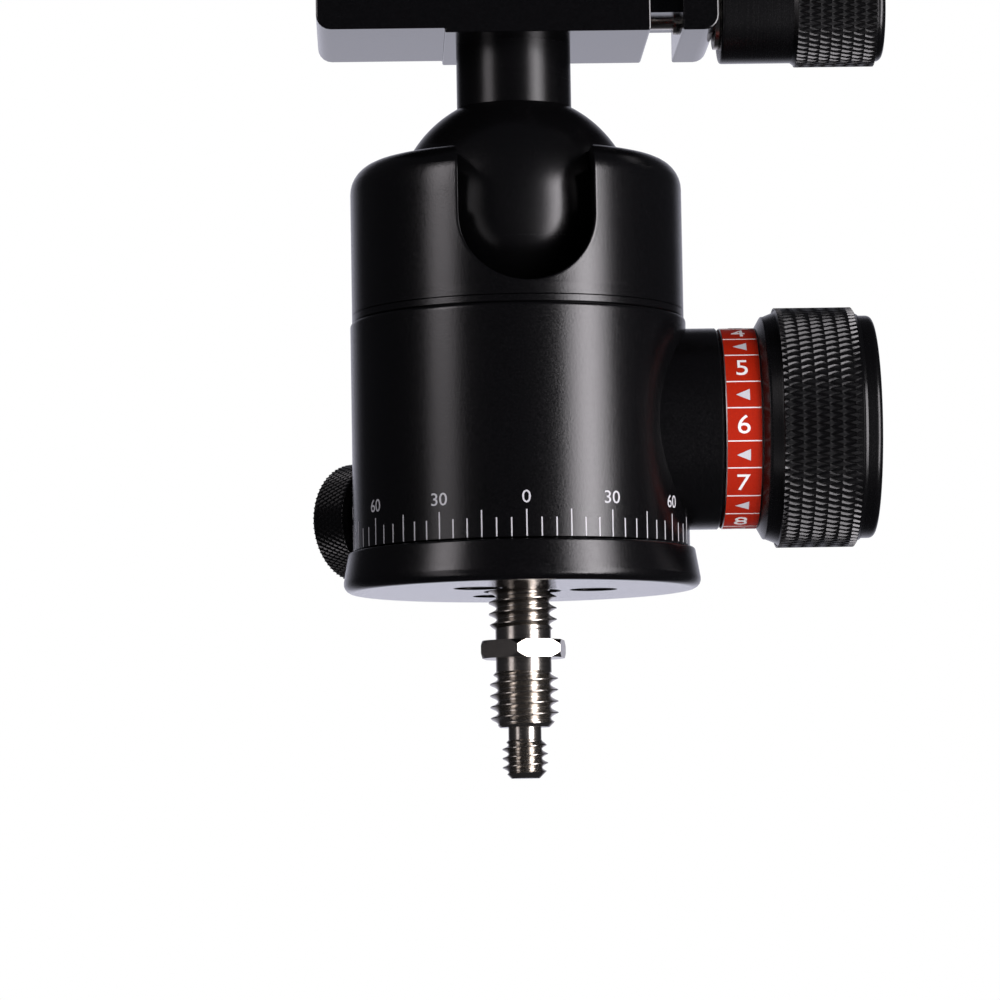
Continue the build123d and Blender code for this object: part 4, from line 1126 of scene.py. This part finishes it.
RIGHT, LEFT = 45.5, -54
RIGHT_TINT, LEFT_TINT = (1.0, 0.96, 1.0), (1.0, 0.94, 0.98)
area_light("right_light", RIGHT, 0.60, -0.07, 0.32, 0.82, 5.8, RIGHT_TINT)
area_light("right_light_core", RIGHT, 0.59, -0.07, 0.12, 0.82, 5.4, RIGHT_TINT)
area_light("left_light", LEFT, 0.60, 0.02, 0.19, 1.0, 1.25, LEFT_TINT)
area_light("upper_left_light", LEFT, 0.59, 0.26, 0.19, 0.26, 3.2, LEFT_TINT)

WHITE, LILAC = (1.0, 1.0, 1.0), (0.86, 0.86, 1.0)
BACKDROP_EDGE, BACKDROP_RISE, ROOM_LEVEL, FILL_LEVEL, GLOW_SHARE = 0.76, 1.5, 0.032, 0.12, 0.96
FLOOR_REACH, FLOOR_LEVEL = 6.0, -0.55
FLOOR_TONES = (0.74, 0.74, 0.74), (0.78, 0.78, 0.78)


def surroundings(tree, direction):
    """The studio as a ray in this direction sees it: its level, its colour, and whether the ray
    comes from the camera or from a polished surface.

    The camera sees white. Polished surfaces see a dark room, paler towards the backdrop.
    """
    path = node(tree, "ShaderNodeLightPath").outputs
    to_camera = path["Is Camera Ray"]
    mirrored = math(tree, "MAXIMUM", path["Is Glossy Ray"], path["Is Transmission Ray"])
    toward_back = vector_math(tree, "DOT_PRODUCT", direction, (0, 1, 0))
    pale = spread(tree, toward_back, 0.0, 1.0, BACKDROP_EDGE, 1.0)
    pale = math(tree, "MAXIMUM", math(tree, "POWER", pale, BACKDROP_RISE), ROOM_LEVEL)
    level = math(tree, "MAXIMUM", math(tree, "MULTIPLY", mirrored, pale), to_camera)
    return level, blend_colours(tree, to_camera, LILAC, WHITE), to_camera, mirrored


def light_room():
    """The world: the studio, and a low even light for everything matt."""
    world = bpy.data.worlds.new("studio")
    world.use_nodes = True
    tree = world.node_tree
    background = tree.nodes["Background"]
    direction = node(tree, "ShaderNodeTexCoord").outputs["Generated"]
    level, colour, to_camera, mirrored = surroundings(tree, direction)
    others = math(tree, "SUBTRACT", 1.0, math(tree, "MAXIMUM", to_camera, mirrored))
    level = math(tree, "MULTIPLY_ADD", others, FILL_LEVEL, level)
    tree.links.new(colour, background.inputs["Color"])
    tree.links.new(level, background.inputs["Strength"])
    bpy.context.scene.world = world


def floor_paint():
    """Pale paint that shows the object's shadow, and is the studio's own white around it."""
    material = bpy.data.materials.new("pale_floor")
    material.use_nodes = True
    tree = material.node_tree
    shader = tree.nodes["Principled BSDF"]
    shader.inputs["Roughness"].default_value = 0.7
    shader.inputs["Specular IOR Level"].default_value = 0.2
    place = object_place(tree)
    tone = blend_colours(tree, noise(tree, place, 60.0, 3.0), *FLOOR_TONES)
    tree.links.new(tone, shader.inputs["Base Color"])
    outward = result(tree, "ShaderNodeVectorMath", {0: place}, operation="NORMALIZE")
    level, colour, to_camera, mirrored = surroundings(tree, outward)
    glow = result(tree, "ShaderNodeEmission", {"Color": colour, "Strength": level})
    share = math(tree, "MULTIPLY_ADD", to_camera, GLOW_SHARE, mirrored)
    mixed = result(tree, "ShaderNodeMixShader", {0: share, 1: shader.outputs[0], 2: glow})
    tree.links.new(mixed, tree.nodes["Material Output"].inputs["Surface"])
    return material


light_room()
floor_mesh = bpy.data.meshes.new("floor")
floor_mesh.from_pydata([
    (side * FLOOR_REACH, end * FLOOR_REACH, FLOOR_LEVEL)
    for side, end in ((-1, -1), (1, -1), (1, 1), (-1, 1))
], [], [[0, 1, 2, 3]])
floor_mesh.materials.append(floor_paint())
floor = new_object("floor", floor_mesh)
floor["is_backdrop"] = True

bpy.context.scene.view_settings.view_transform = "Standard"

sizes = {"cad_box": cad_box, "visual_box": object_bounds()}
sizes = {
    name: [[float(number) for number in corner] for corner in box] for name, box in sizes.items()
}
